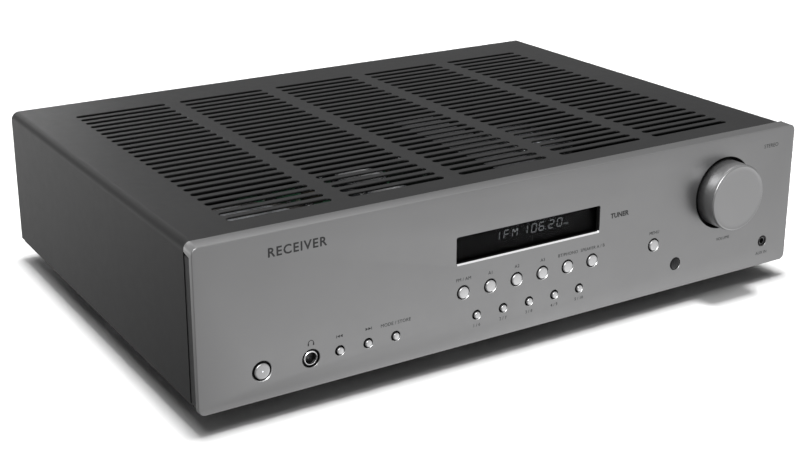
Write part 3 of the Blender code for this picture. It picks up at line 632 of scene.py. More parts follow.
def build_cover():
    width, length, _ = size_of("top_cover")
    top, bottom = ((level - panel_low.z) / MM for level in (cover_high.z, cover_low.z))
    back = plane("front", Vector((0, cover_low.y, panel_low.z)))
    edge = 0.1
    inner = arch(width / 2 - edge, bottom + edge, top - edge, COVER_RADIUS - edge, COVER_SHEET - 2 * edge)
    full = arch(width / 2, bottom, top, COVER_RADIUS, COVER_SHEET)
    sheet = skin(bmesh.new(), back, [(inner, 0.0), (full, -edge), (full, edge - length), (inner, -length)])
    cover = piece("cover_sheet", sheet, ("cover",), stands_for="top_cover", sharp=30.0)
    slots = bmesh.new()
    ease = 0.5
    levels = ((ease, 1.0), (ease, 0.001), (0.3 * ease, -0.3 * ease), (0.0, -ease), (0.0, -2.0))
    for column in range(VENT_COLUMNS):
        u = VENT_COLUMN_PITCH * (column - (VENT_COLUMNS - 1) / 2)
        for row in range(VENT_ROWS):
            v = VENT_FIRST + VENT_SPAN * row / (VENT_ROWS - 1)
            shapes = []
            for grow, level in levels:
                wide = VENT_WIDTH + 2 * grow
                shapes.append((rounded(u, v, VENT_LENGTH + 2 * grow, wide, wide / 2 - 0.01, 6), level))
            skin(slots, TOP, shapes)
    carve(cover, slots, sharp=15.0)


def screw(bm, matrix, centre, radius, low):
    """A pan head with a cross recess."""
    cu, cv = centre
    height = radius * 0.55
    arm, wide = radius * 0.58, radius * 0.15
    quarter = [(wide, -arm), (wide, -wide), (arm, -wide)]
    cross = []
    for _ in range(4):
        cross += [(cu + u, cv + v) for u, v in quarter]
        quarter = [(-v, u) for u, v in quarter]
    angles = [math.atan2(v - cv, u - cu) for u, v in cross]
    rings = []
    for share, level in ((1.0, 0.0), (1.0, 0.35), (0.94, 0.65), (0.82, 0.87), (0.68, 0.98)):
        out = radius * share
        ring = [(cu + out * math.cos(a), cv + out * math.sin(a)) for a in angles]
        rings.append((ring, low + height * level))
    rings += [(cross, low + height), (shrunk(cross, 0.6), low + height * 0.35)]
    skin(bm, matrix, rings)


def build_screws():
    rear = bmesh.new()
    width = size_of("rear_panel")[0]
    top = (rear_high.z - panel_low.z) / MM
    for share in (-0.93, -0.56, -0.19, 0.19, 0.56, 0.93):
        screw(rear, REAR, (share * width / 2, top - 5.5), 3.0, 0.0)
    for share in (-0.97, 0.97):
        screw(rear, REAR, (share * width / 2, 14.0), 3.0, 0.0)
    for node, up in (("line_socket_block", 0.0), ("antenna_block", 1.5)):
        u, v = spot(node, REAR)
        screw(rear, REAR, (u, v + up), 2.3, 2.0)
    for block in ("speaker_block_a", "speaker_block_b"):
        u, v = spot(block, REAR)
        for side in (-1, 0, 1):
            screw(rear, REAR, (u + side * 38.0, v), 2.0, 2.8)
    piece("rear_screws", rear, ("dull_metal",))

    under = bmesh.new()
    inverse = UNDER.inverted()
    width = base_high.x / MM - 9.0
    lines = [(inverse @ Vector((0, y, 0))).y for y in (base_low.y + 0.012, 0.0, base_high.y - 0.012)]
    for line in lines:
        for side in (-1, 1):
            screw(under, UNDER, (side * width, line), 3.0, 0.0)
    for k in range(4):
        screw(under, UNDER, (-140.0 + 93.0 * k, lines[0]), 3.0, 0.0)
    screw(under, UNDER, spot("transformer", UNDER), 5.0, 0.0)
    piece("base_screws", under, ("dull_metal",))


def build_feet():
    for node in ("foot_front_left", "foot_front_right", "foot_rear_left", "foot_rear_right"):
        matrix = standing(node, 0.0)
        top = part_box(node)[1].z / MM
        body = [(0, 0), (20.0, 0), (20.9, -0.3), (21.3, -1.0), (21.2, -2.4), (20.3, -2.7)]
        body = [(radius, top + level) for radius, level in body + [(20.1, -3.4), (20.7, -3.8)]]
        body += [(20.2, 2.6), (19.4, 1.5), (18.8, 1.3), (0, 1.3)]
        bm = turned(bmesh.new(), matrix, body, 80)
        pad = [(12.4, 1.4), (11.9, 0.5), (12.5, 0.0), (17.9, 0.0), (18.6, 0.45), (18.7, 1.4)]
        turned(bm, matrix, pad, 80, closed=True, finish=1)
        piece(node + "_turned", bm, ("foot_plastic", "rubber"), stands_for=node, sharp=40.0)


# ---- front controls ----
def build_buttons():
    for node, kind in BUTTON_KIND.items():
        cap = BUTTON_CAPS[kind]
        back, out = reach(node, FRONT)
        crown = 0.22 if kind == "small" else 0.30
        shoulder = out - crown
        profile = [((cap - 0.6) * k / 5, out - crown * 0.25 * (k / 5) ** 2) for k in range(6)]
        profile += [(cap - 0.34, out - crown * 0.45), (cap - 0.12, shoulder - 0.02), (cap, shoulder - 0.3)]
        profile.append((cap, -PLATE - 0.5))
        finish = [0] * (len(profile) - 1) + [2] * 5
        flange = size_of(node)[0] / 2
        profile += [(flange, -PLATE - 0.5), (flange, -PLATE - 1.7), (1.5, -PLATE - 1.7)]
        profile += [(1.5, back), (0, back)]
        bm = turned(bmesh.new(), FRONT, profile, 56, finish=finish, centre=spot(node))
        if kind == "power":
            lens = [(0, 0.05), (0.35, 0.03), (0.55, -0.04), (0.55, -0.3), (0, -0.3)]
            lens = [(radius, out + level) for radius, level in lens]
            turned(bm, FRONT, lens, 24, finish=1, centre=spot(node))
        metal = "power_cap" if kind == "power" else "cap_metal"
        piece(node + "_cap", bm, (metal, "led", "near_black_and_painted_shade"), node, node, sharp=38.0)


def build_knob():
    node = "volume_knob"
    back, out = reach(node, FRONT)
    radius = round(size_of(node)[0] / 2, 1)
    face = [(radius * 0.12 * k, out - 0.05) for k in range(8)]
    face += [(radius - 1.35, out - 0.03), (radius - 1.25, out), (radius - 1.1, out)]
    bm = turned(bmesh.new(), FRONT, face, 160, centre=spot(node))
    rim = [(1.1, 0.0), (0.75, 0.08), (0.4, 0.3), (0.14, 0.65), (0.02, 1.1), (0.0, 1.7)]
    rim = [(radius - inward, out - below) for inward, below in rim]
    rim += [(radius, back + 0.4), (radius - 0.4, back), (radius - 3.0, back), (radius - 3.0, out - 4.0)]
    rim += [(7.0, out - 4.0), (7.0, back), (3.3, back), (3.3, out - 3.0), (0, out - 3.0)]
    turned(bm, FRONT, rim, 160, finish=[0] * 4 + [1] * (len(rim) - 5), centre=spot(node))
    bmesh.ops.remove_doubles(bm, verts=bm.verts, dist=1e-6)
    piece("volume_knob_turned", bm, ("knob_face", "knob_side"), "volume", node, sharp=50.0)


def build_front_sockets():
    node = "headphone_jack"
    place = spot(node)
    back, _ = reach(node, FRONT)
    bm = bmesh.new()
    ring = [(3.25, -1.5), (3.3, -0.7), (3.5, -0.32), (3.8, -0.2), (4.1, -0.34), (4.35, -0.75), (4.45, -1.4)]
    turned(bm, FRONT, ring + [(4.45, -4.0), (3.25, -4.0)], 72, True, [0] * 7 + [2] * 2, place)
    turned(bm, FRONT, tube(4.4, 5.2, -3.3, -2.6), 64, True, 2, place)
    body = rounded(*place, 12.0, 12.0, 0.8, 4)
    bore = shrunk(body, 0.5)
    skin(bm, FRONT, [(bore, -4.0), (body, -4.0), (body, back), (bore, back)], 1)
    turned(bm, FRONT, tube(3.28, 4.7, back + 2.0, -1.4), 48, True, 2, place)
    turned(bm, FRONT, rod(4.6, back + 1.0, back + 2.4), 32, False, 2, place)
    for side in (-3.1, 3.1):
        u, v = place[0] + side, place[1]
        bar(bm, FRONT, (u, v - 0.6), (u, v + 0.6), 0.35, -16.0, -7.0, 3)
    finishes = ("bright_metal", "black_plastic", "near_black_and_painted_shade", "brass")
    piece("headphone_socket", bm, finishes, stands_for=node, sharp=40.0)

    node = "aux_jack"
    place = spot(node)
    back, _ = reach(node, FRONT)
    bm = bmesh.new()
    ring = [(2.35, -0.5), (2.45, 0.0), (2.9, 0.18), (3.2, 0.15), (3.5, -0.15), (3.5, -4.0), (2.35, -4.0)]
    turned(bm, FRONT, ring, 64, True, 0, place)
    ring = [(1.87, -0.7), (1.95, -0.45), (2.25, -0.4), (2.34, -0.55), (2.34, -4.0), (1.87, -4.0)]
    turned(bm, FRONT, ring, 64, True, 1, place)
    turned(bm, FRONT, tube(1.86, 2.3, back + 2.4, -1.2), 40, True, 2, place)
    turned(bm, FRONT, rod(2.2, back + 2.0, back + 2.6), 24, False, 2, place)
    body = rounded(*place, 8.0, 8.0, 0.5, 4)
    bore = shrunk(body, 0.55)
    skin(bm, FRONT, [(bore, -4.0), (body, -4.0), (body, back), (bore, back)])
    piece("aux_socket", bm, ("gloss_black", "dark_metal", "near_black_and_painted_shade"), stands_for=node, sharp=40.0)

    node = "ir_window"
    profile = [(0, 0.1), (1.6, 0.08), (3.0, 0.0), (3.7, -0.14), (4.0, -0.4), (4.0, -3.5)]
    bm = turned(bmesh.new(), FRONT, profile + [(5.2, -3.5), (5.2, -4.6), (0, -4.6)], 64, centre=spot(node))
    piece("ir_lens", bm, ("gloss_black",), stands_for=node, sharp=40.0)


GLYPHS = {"1": "bc", "0": "abcdef", "6": "acdefg", "2": "abged", "F": "aefg", "M": "efbchi"}
STROKES = {
    "a": ((0, 1), (1, 1)),
    "b": ((1, 1), (1, 0.5)),
    "c": ((1, 0.5), (1, 0)),
    "d": ((0, 0), (1, 0)),
    "e": ((0, 0.5), (0, 0)),
    "f": ((0, 1), (0, 0.5)),
    "g": ((0, 0.5), (1, 0.5)),
    "h": ((0.06, 1), (0.5, 0.5)),
    "i": ((0.94, 1), (0.5, 0.5)),
}
READING_STARTS = {"1": [0.0, 20.2], "F": [6.8], "M": [12.9], "0": [26.9, 46.0], "6": [32.5], "2": [39.8]}


def build_display():
    node = "display_window"
    u, v = spot(node)
    width, _, height = size_of(node)
    lens = slab(bmesh.new(), FRONT, width, height, 1.0, *reach(node, FRONT), 0.25, (u, v))
    piece("display_lens", lens, ("window",), stands_for=node)

    node = "display_module"
    back, out = reach(node, FRONT)
    bm = bmesh.new()
    slab(bm, FRONT, DISPLAY_WIDTH + 3, DISPLAY_HEIGHT + 3, 0.8, back, out - 2.0, 0.3, (u, v), 1)
    slab(bm, FRONT, DISPLAY_WIDTH + 1, DISPLAY_HEIGHT + 1, 0.6, out - 2.3, out, 0.3, (u, v), 0)
    piece("display_panel", bm, ("near_black_and_painted_shade", "black_plastic"), stands_for=node)

    tall, wide, slant, thick, gap = 5.0, 3.4, 0.10, 0.5, 0.32
    first, level = u - 22.1, v - 1.3
    bm = bmesh.new()
    for glyph, starts in READING_STARTS.items():
        for start in starts:
            for stroke in GLYPHS[glyph]:
                a, b = (
                    Vector((first + start + wide * x + slant * tall * y, level + tall * y))
                    for x, y in STROKES[stroke]
                )
                along = (b - a).normalized() * gap
                bar(bm, FRONT, a + along, b - along, thick, out, out + INK)
    bar(bm, FRONT, (first + 37.6, level - 0.1), (first + 37.6, level + 0.4), thick, out, out + INK)
    lettering(bm, FRONT @ Matrix.Translation((0, 0, out)), "MHz", first + 52.9, level + 0.8, 1.8)
    piece("display_reading", bm, ("segments",))


SMALL_TEXT = 2.9
# node that the text stands by, text, right, up, size
FRONT_LEGENDS = [
    ("fm_am_button", "FM / AM", 0.0, 8.2, SMALL_TEXT),
    ("source_1_button", "A1", 0.0, 8.2, SMALL_TEXT),
    ("source_2_button", "A2", 0.0, 8.2, SMALL_TEXT),
    ("source_3_button", "A3", 0.0, 8.2, SMALL_TEXT),
    ("bt_phono_button", "BT/PHONO", 0.0, 8.2, SMALL_TEXT),
    ("speaker_button", "SPEAKER A / B", 0.0, 8.2, SMALL_TEXT),
    ("menu_button", "MENU", 0.0, 8.2, SMALL_TEXT),
    ("mode_button", "MODE / STORE", 0.0, 8.2, SMALL_TEXT),
    *[(f"preset_{k}_button", f"{k} / {k + 5}", 0.0, -6.6, 2.75) for k in range(1, 6)],
    ("volume_knob", "VOLUME", 2.0, -31.7, SMALL_TEXT),
    ("volume_knob", "STEREO", 40.0, 25.3, 3.6),
    ("aux_jack", "AUX IN", 0.0, -8.3, SMALL_TEXT),
]
REAR_LEGENDS = [
    ("antenna_block", "FM 75", 0.0, 24.4, SMALL_TEXT),
    ("antenna_block", "AM LOOP", 0.0, -24.4, SMALL_TEXT),
    ("ground_terminal", "GND", 0.0, -9.5, SMALL_TEXT),
    ("mains_inlet", "AC INPUT", 0.0, -15.6, SMALL_TEXT),
    ("switch_housing", "POWER", 0.0, 13.4, SMALL_TEXT),
    ("speaker_block_a", "SPEAKERS A", 57.0, 0.0, SMALL_TEXT),
    ("speaker_block_b", "SPEAKERS B", 57.0, 0.0, SMALL_TEXT),
    ("line_socket_block", "L", -68.0, SOCKET_ROW, 3.2),
    ("line_socket_block", "R", -68.0, -SOCKET_ROW, 3.2),
]
SOCKET_NAMES = ("PHONO", "A1", "A2", "A3", "REC OUT", "PRE OUT", "SUB OUT")
TERMINAL_NAMES = ("R -", "R +", "L -", "L +")


def socket_right(column):
    """Where a column of line sockets stands, from the middle of their block."""
    return SOCKET_PITCH * (column - (SOCKET_COLUMNS - 1) / 2)


def terminal_right(k):
    """Where a speaker terminal stands, from the middle of its block."""
    return TERMINAL_PITCH * (1.5 - k)


def build_front_legends():
    bm = bmesh.new()
    for node, text, right, up, size in FRONT_LEGENDS:
        u, v = spot(node)
        lettering(bm, FRONT, text, u + right, v + up, size)
    u, v = spot("display_window")
    lettering(bm, FRONT, "TUNER", u + 68.0, v - 0.3, 4.3, weight=0.16)
    lettering(bm, FRONT, "RECEIVER", -172.5, 83.2, 7.3, "LEFT", 0.15, 1.16)

    u, v = spot("headphone_jack")
    v += 9.2
    shapes = [arc(u, v, 1.75, -20, 200, 20) + arc(u, v, 1.35, 200, -20, 20)]
    shapes += [rounded(u + side * 1.62, v - 0.85, 0.75, 1.5, 0.25, 4) for side in (-1, 1)]
    for node, way in (("tune_down_button", -1), ("tune_up_button", 1)):
        u, v = spot(node)
        v += 8.7
        for offset in (-1.7, 0.1):
            tail, tip = u + way * offset, u + way * (offset + 1.7)
            shapes.append([(tail, v - 0.85), (tip, v), (tail, v + 0.85)])
        bar(bm, FRONT, (u + way * 2.1, v - 0.85), (u + way * 2.1, v + 0.85), 0.35, 0.0, INK)
    for shape in shapes:
        prism(bm, FRONT, shape, 0.0, INK)
    piece("front_legends", bm, ("dark_ink",))


# ---- rear ----
def flanged_body(name, node, flange, body, flange_steps=6):
    """A moulding of two slabs: a flange over the rear panel, given as (width, height, radius, thickness,
    edge), and a body behind it, given as (width, height, radius)."""
    place = spot(node, REAR)
    width, height, radius, thick, edge = flange
    bm = slab(bmesh.new(), REAR, width, height, radius, 0.3, thick, edge, place, steps=flange_steps)
    made = piece(name, bm, ("black_plastic",), stands_for=node, sharp=40.0)
    carve(made, prism(bmesh.new(), REAR, rounded(*place, *body, 4), reach(node, REAR)[0], 1.0), "UNION")
    return made


def build_speaker_terminals():
    for row in ("a", "b"):
        node = f"speaker_block_{row}"
        cu, cv = spot(node, REAR)
        bm = slab(bmesh.new(), REAR, 84.0, 20.0, 2.0, 0.3, 2.8, 0.4, (cu, cv))
        slab(bm, REAR, 80.0, 14.0, 0.6, reach(node, REAR)[0], 0.6, 0.1, (cu, cv))
        for k in range(4):
            place = (cu + terminal_right(k), cv)
            collar = [(2.0, 2.0), (6.9, 2.0), (6.9, 3.0), (6.4, 3.6), (5.7, 3.8), (5.6, 5.6), (2.0, 5.6)]
            turned(bm, REAR, collar, 48, True, 2 if k % 2 else 0, place)
            stud = [(0, 5.0), (2.6, 5.0)]
            for turn in range(14):
                stud += [(2.85, 5.5 + 0.7 * turn), (2.55, 5.85 + 0.7 * turn)]
            turned(bm, REAR, stud + [(2.2, 16.1), (0, 16.1)], 32, False, 1, place)
        piece(node + "_detail", bm, ("black_plastic", "gold", "red"), stands_for=node, sharp=40.0)
        for k in range(4):
            cap = f"terminal_{row}{k + 1}"
            place = spot(cap, REAR)
            low, high = reach(cap, REAR)
            shape = [(3.2, low), (5.7, low), (6.05, low + 0.35), (6.1, low + 1.0), (6.5, low + 1.5)]
            shape += [(6.5, high - 2.4), (6.1, high - 1.9), (6.0, high - 0.6), (5.5, high), (3.4, high)]
            shape.append((3.2, high - 0.3))
            bm = turned(bmesh.new(), REAR, shape, 144, True, 0, place, scallops(18, 0.16, 6.2))
            ring = [(2.1, 0.6), (2.3, 0.35), (3.2, 0.35), (3.2, 3.0), (2.1, 3.0)]
            ring = [(radius, high - below) for radius, below in ring]
            turned(bm, REAR, ring, 48, True, 1, place)
            piece(cap + "_cap", bm, ("red" if k % 2 else "black_plastic", "gold"), cap, cap, sharp=40.0)


def build_line_sockets():
    node = "line_socket_block"
    cu, cv = spot(node, REAR)
    bm = slab(bmesh.new(), REAR, 130.0, 44.0, 2.0, 0.3, 2.0, 0.3, (cu, cv))
    slab(bm, REAR, 126.0, 38.0, 0.6, reach(node, REAR)[0], 0.6, 0.1, (cu, cv))
    seat = [(4.2, 1.6), (6.0, 1.6), (6.0, 2.5), (5.6, 2.9), (4.2, 2.9)]
    sleeve = [(3.55, 2.2), (4.15, 2.2), (4.15, 9.9), (3.95, 10.4), (3.7, 10.5), (3.55, 10.2)]
    core = [(1.55, 3.0), (3.5, 3.0), (3.5, 9.6), (3.2, 9.8), (1.8, 9.8), (1.55, 9.5)]
    for column in range(SOCKET_COLUMNS):
        for v, colour in ((cv - SOCKET_ROW, 3), (cv + SOCKET_ROW, 2)):
            place = (cu + socket_right(column), v)
            turned(bm, REAR, seat, 40, True, colour, place)
            turned(bm, REAR, sleeve, 48, True, 1, place)
            turned(bm, REAR, core, 40, True, colour, place)
            turned(bm, REAR, tube(1.15, 1.5, 2.4, 9.0), 24, True, 1, place)
            turned(bm, REAR, rod(1.2, 2.1, 2.6), 16, False, 4, place)
    finishes = ("black_plastic", "bright_metal", "white", "red", "near_black_and_painted_shade")
    piece("line_socket_detail", bm, finishes, stands_for=node, sharp=40.0)


def build_antenna_block():
    node = "antenna_block"
    cu, cv = spot(node, REAR)
    out = reach(node, REAR)[1]
    levers = {"am_lever_left": "white", "am_lever_right": "black_plastic"}

    def pockets(floor):
        tools = bmesh.new()
        for lever in levers:
            prism(tools, REAR, rounded(spot(lever, REAR)[0], cv - 10.0, 11.2, 11.2, 0.5, 3), floor, 7.0)
        return tools

    flange = flanged_body("antenna_block_flange", node, (36.0, 42.0, 2.0, 2.0, 0.3), (32.0, 38.0, 0.6))
    carve(flange, pockets(-0.39))
    bm = slab(bmesh.new(), REAR, 32.0, 16.0, 1.0, 1.9, 5.6, 0.4, (cu, cv - 10.0))
    carve(piece("am_terminal_housing", bm, ("black_plastic",)), pockets(1.0))

    bm = bmesh.new()
    place = (cu, cv + 11.0)
    nut = [(3.0, 2.0), (6.6, 2.0), (6.6, 3.2), (6.2, 3.6), (3.0, 3.6)]
    turned(bm, REAR, nut, 6, True, 0, place)
    barrel = [(2.8, 3.0), (4.6, 3.0)]
    for turn in range(11):
        barrel += [(4.72, 3.9 + 0.75 * turn), (4.4, 4.25 + 0.75 * turn)]
    barrel += [(4.2, out), (3.3, out), (2.8, out - 0.4)]
    turned(bm, REAR, barrel, 48, True, 0, place)
    core = [(0.6, 3.0), (2.9, 3.0), (2.9, out - 0.8), (0.9, out - 0.8), (0.6, out - 1.4)]
    turned(bm, REAR, core, 32, True, 1, place)
    turned(bm, REAR, rod(0.7, 3.2, 6.0), 16, False, 2, place)
    piece("antenna_connector", bm, ("bright_metal", "white", "near_black_and_painted_shade"), sharp=40.0)

    side = [(3.2, -11.0), (3.5, -11.2), (5.0, -11.2), (10.1, -9.3), (10.6, -8.9), (10.6, -8.1)]
    side += [(10.1, -7.8), (6.6, -7.9)]
    side = arc(LEVER_PIVOT_OUT, cv - 6.6, 1.4, 20, 200, 14) + [(outward, cv + up) for outward, up in side]
    for lever, colour in levers.items():
        matrix = REAR @ Matrix.Translation((spot(lever, REAR)[0], 0, 0))
        bm = moulded(matrix, side, size_of(lever)[0] / 2, 0.25, 0.93)
        piece(lever + "_moulded", bm, (colour,), lever, lever, sharp=40.0)


def build_mains_parts():
    node = "mains_inlet"
    u, v = spot(node, REAR)
    out = reach(node, REAR)[1]
    inlet = flanged_body("mains_inlet_moulding", node, (31.0, 24.0, 2.0, out, 0.5), (27.2, 20.0, 0.8), 8)

    def recess(grow):
        w, low, mid, high, flat = 12.2 + grow, -8.3 - grow, 4.0, 8.3 + grow, 8.0
        shape = [(-w, low), (w, low), (w, mid), (flat, high), (-flat, high), (-w, mid)]
        return [(u + du, v + dv) for du, dv in shape]

    levels = ((0.5, 1.0), (0.5, -0.001), (0.0, -0.5), (0.0, -18.0))
    sections = [(recess(grow), out + level) for grow, level in levels]
    carve(inlet, skin(bmesh.new(), REAR, sections), sharp=30.0)
    bm = bmesh.new()
    for du, dv in ((7.0, -1.5), (-7.0, -1.5), (0.0, 2.5)):
        sections = []
        for shrink, level in ((0.0, -18.5), (0.0, -8.2), (0.35, -7.3), (0.7, -7.0)):
            sections.append((rounded(u + du, v + dv, 2.0 - shrink, 4.0 - shrink, 0.25, 3), out + level))
        skin(bm, REAR, sections)
    piece("mains_blades", bm, ("brass",))

    node = "switch_housing"
    u, v = spot(node, REAR)
    out = reach(node, REAR)[1]
    housing = flanged_body("switch_bezel", node, (26.0, 19.0, 1.5, out, 0.5), (21.6, 15.0, 0.6), 8)
    shape = rounded(u, v, 18.4, 12.4, 0.6, 4)
    carve(housing, prism(bmesh.new(), REAR, shape, out - 14.0, out + 2), sharp=30.0)

    node = "power_rocker"
    tilt = Matrix.Rotation(math.radians(8.0), 4, "X")
    face = REAR @ Matrix.Translation((u, v, ROCKER_PIVOT_OUT)) @ tilt
    side = [(outward, across) for across, outward in arc(0.0, 0.0, 4.2, 205, 335, 16)]
    side += [(4.6, 4.2), (5.0, 4.0), (4.25, 2.0), (4.0, 0.0), (4.25, -2.0), (5.0, -4.0), (4.6, -4.2)]
    bm = moulded(face, side, size_of(node)[0] / 2)
    piece("power_rocker_moulded", bm, ("gloss_black",), node, node, sharp=40.0)
    upper, lower = (
        face @ Matrix.Translation((0, 3.0 * way, 4.64)) @ Matrix.Rotation(math.radians(20.5 * way), 4, "X")
        for way in (1, -1)
    )
    marks = turned(bmesh.new(), upper, tube(0.62, 0.92, 0.0, INK), 32, True)
    bar(marks, lower, (-1.1, 0.0), (1.1, 0.0), 0.32, 0.0, INK)
    piece("rocker_marks", marks, ("white_ink",), node)


def build_ground_terminal():
    node = "ground_terminal"
    back, out = reach(node, REAR)
    profile = [(0, out - 0.3), (2.2, out - 0.3), (2.4, out), (4.2, out), (4.85, out - 0.5), (5.0, out - 0.8)]
    profile += [(5.0, 2.6), (4.7, 2.2), (3.4, 1.8), (3.4, 0.5), (2.0, 0.5), (2.0, back), (0, back)]
    knurl = scallops(32, 0.14, 4.8)
    bm = turned(bmesh.new(), REAR, profile, 192, centre=spot(node, REAR), wobble=knurl)
    piece("ground_screw", bm, ("dull_metal",), node, node, sharp=40.0)


def frame_line(bm, u0, u1, v0, v1):
    """A printed rectangle."""
    corners = [(u0, v0), (u1, v0), (u1, v1), (u0, v1)]
    for start, end in zip(corners, corners[1:] + corners[:1]):
        bar(bm, REAR, start, end, 0.35, 0.005, 0.045)


def build_rear_legends():
    bm = bmesh.new()
    cu, cv = spot("line_socket_block", REAR)
    for column, text in enumerate(SOCKET_NAMES):
        lettering(bm, REAR, text, cu + socket_right(column), cv + 25.5, 2.7)
    for node, text, right, up, size in REAR_LEGENDS:
        u, v = spot(node, REAR)
        lettering(bm, REAR, text, u + right, v + up, size)
    u, upper = spot("speaker_block_a", REAR)
    _, lower = spot("speaker_block_b", REAR)
    for v in (upper, lower):
        for k, text in enumerate(TERMINAL_NAMES):
            lettering(bm, REAR, text, u + terminal_right(k), v + 11.9, 2.4)
    lettering(bm, REAR, "STEREO RECEIVER", cu - 12.0, 83.5, 4.2)
    frame_line(bm, u - 45.0, u + 70.0, lower - 12.5, upper + 15.0)
    frame_line(bm, cu - 72.0, cu + 67.5, cv - 24.0, cv + 29.0)
    piece("rear_legends", bm, ("white_ink",))


# ---- inside ----
def build_transformer():
    node = "transformer"
    matrix = standing(node)
    tall = size_of(node)[2]
    profile = [(14, 6), (15.5, 2.5), (20, 0.6), (46, 0), (51, 1.5), (54.4, 6), (55.7, 14), (56, tall / 2)]
    profile += [(55.7, tall - 14), (54.4, tall - 5.6), (51, tall - 1.4), (46, tall), (20, tall - 0.8)]
    profile += [(15.5, tall - 3), (14, tall - 7)]
    bm = turned(bmesh.new(), matrix, profile, 276, True, wobble=scallops(46, 0.35, 18))
    piece("transformer_winding", bm, ("tape",), stands_for=node, sharp=60.0)
    top = (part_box("transformer_clamp")[1].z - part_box(node)[0].z) / MM
    plate = [(0, 0), (2.4, 0), (2.6, 0.4), (2.6, 1.8), (5.0, 1.8), (5.0, 3.6), (33.0, 3.6), (33.8, 4.0)]
    plate += [(34.0, 5.9), (12.0, 5.9), (10.0, 10.5), (3.0, 10.5)]
    plate = [(radius, top - below) for radius, below in plate]
    bm = turned(bmesh.new(), matrix, plate + [(3.0, 0.0), (0, 0.0)], 72)
    piece("transformer_plate", bm, ("zinc",), stands_for="transformer_clamp", sharp=30.0)


def build_capacitors():
    for node in ("capacitor_left", "capacitor_right"):
        matrix = standing(node)
        tall = size_of(node)[2]
        sleeve = [(17.4, 4.6), (16.9, 3.9), (17.3, 3.2), (17.4, 1.0), (16.9, 0.1), (15.6, 0.0), (15.0, 0.2)]
        sleeve = [(radius, tall - below) for radius, below in sleeve]
        sleeve = [(15.0, 0.0), (16.6, 0.0), (17.4, 0.7)] + sleeve
        bm = turned(bmesh.new(), matrix, sleeve, 64, True)
        lid = [(0, tall - 0.9), (13.5, tall - 0.9), (15.2, tall - 0.3), (15.2, tall - 2.0), (0, tall - 2.0)]
        turned(bm, matrix, lid, 64, False, 1)
        for angle in (0, 60, 120):
            tip = Vector((math.cos(math.radians(angle)), math.sin(math.radians(angle)))) * 9.0
            bar(bm, matrix, -tip, tip, 0.6, tall - 0.95, tall - 0.8, 2)
        piece(node + "_can", bm, ("can_sleeve", "can_top", "chip"), stands_for=node, sharp=40.0)


# kind of component: width, depth, height and finish of its block
BLOCKS = {
    "chip": (18, 7.5, 3.4, 0),
    "film": (10, 4.5, 8.0, 3),
    "resistor": (8, 3, 2.6, 3),
    "can": (8, 8, 0, 1),
}


def build_board_parts():
    """Small components on the main board, scattered clear of its large ones."""
    rng = random.Random(7)
    low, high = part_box("main_board")
    board = plane("top", Vector((low.x, low.y, high.z)))
    width, depth, _ = size_of("main_board")
    inverse = board.inverted()
    kept_clear = []
    large = ["heatsink", "capacitor_left", "capacitor_right", "tuner_module", "line_socket_block"]
    for node in large + ["ribbon_cable"]:
        a, b = (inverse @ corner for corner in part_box(node))
        kept_clear.append((a.x - 4, b.x + 4, a.y - 4, b.y + 4))
    bm = bmesh.new()
    placed = 0
    for _ in range(900):
        if placed >= 110:
            break
        kind = rng.choice(("can", "can", "chip", "film", "resistor", "resistor"))
        wide, deep, tall, finish = BLOCKS[kind]
        if rng.random() < 0.5:
            wide, deep = deep, wide
        u, v = rng.uniform(6, width - 6 - wide), rng.uniform(6, depth - 6 - deep)
        if any(u < b and u + wide > a and v < d and v + deep > c for a, b, c, d in kept_clear):
            continue
        kept_clear.append((u - 1.2, u + wide + 1.2, v - 1.2, v + deep + 1.2))
        placed += 1
        middle = (u + wide / 2, v + deep / 2)
        if kind == "can":
            radius, tall = rng.choice(((2.6, 8), (3.2, 11), (4.0, 14)))
            body = [(0, tall - 0.3), (radius - 0.7, tall - 0.3), (radius - 0.4, tall), (radius, tall - 0.5)]
            turned(bm, board, body + [(radius, 0.3), (0, 0.3)], 20, False, finish, middle)
            turned(bm, board, rod(radius - 0.8, tall - 0.6, tall - 0.1), 20, False, 2, middle)
        else:
            slab(bm, board, wide, deep, 0.5, 0.3, tall, 0.4, middle, finish, 3)
    finishes = ("chip", "can_sleeve", "can_top", "ceramic")
    piece("main_board_parts", bm, finishes, sharp=40.0)


def build_heatsink_devices():
    node = "heatsink"
    low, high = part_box(node)
    side = plane("left", Vector((low.x, 0, 0)))
    start, end = ((side.inverted() @ corner).x for corner in (low, high))
    level = low.z / MM + 28.0
    bm = bmesh.new()
    bush = [(0, 2.0), (2.6, 2.0), (3.0, 1.6), (3.0, 0.6), (0, 0.6)]
    for k in range(4):
        u = start + (end - start) * (20.0 + 36.0 * k) / 150.0
        slab(bm, side, 15.4, 19.4, 0.6, 0.05, 0.8, 0.4, (u, level), 0, 4)
        turned(bm, side, bush, 24, False, 1, (u, level + 5.5))
    piece("power_transistors", bm, ("chip", "dull_metal"), sharp=40.0)


def build_tuner():
    node = "tuner_module"
    matrix = standing(node)
    width, depth, tall = size_of(node)
    bm = slab(bmesh.new(), matrix, width, depth, 0.8, 0.0, tall, 0.5, steps=4)
    ring = [(2.4, tall - 0.4), (2.4, tall + 0.25), (3.0, tall + 0.25), (3.2, tall - 0.4)]
    for du in (-14.0, 0.0, 14.0):
        for dv in (-20.0, 8.0):
            turned(bm, matrix, ring, 32, True, centre=(du, dv))
    piece("tuner_can", bm, ("zinc",), stands_for=node, sharp=40.0)


def finish_kept_nodes():
    """Gives the CAD nodes that stay their finishes."""
    kept = {
        "volume_shaft": "zinc",
        "volume_encoder": "zinc",
        "rear_panel": "rear_paint",
        "base_chassis": "cover",
        "front_board": "board",
        "main_board": "board",
        "heatsink": "sink",
        "ribbon_cable": "ribbon",
    }
    for node, finish in kept.items():
        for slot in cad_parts[node].material_slots:
            slot.material = FINISH[finish]


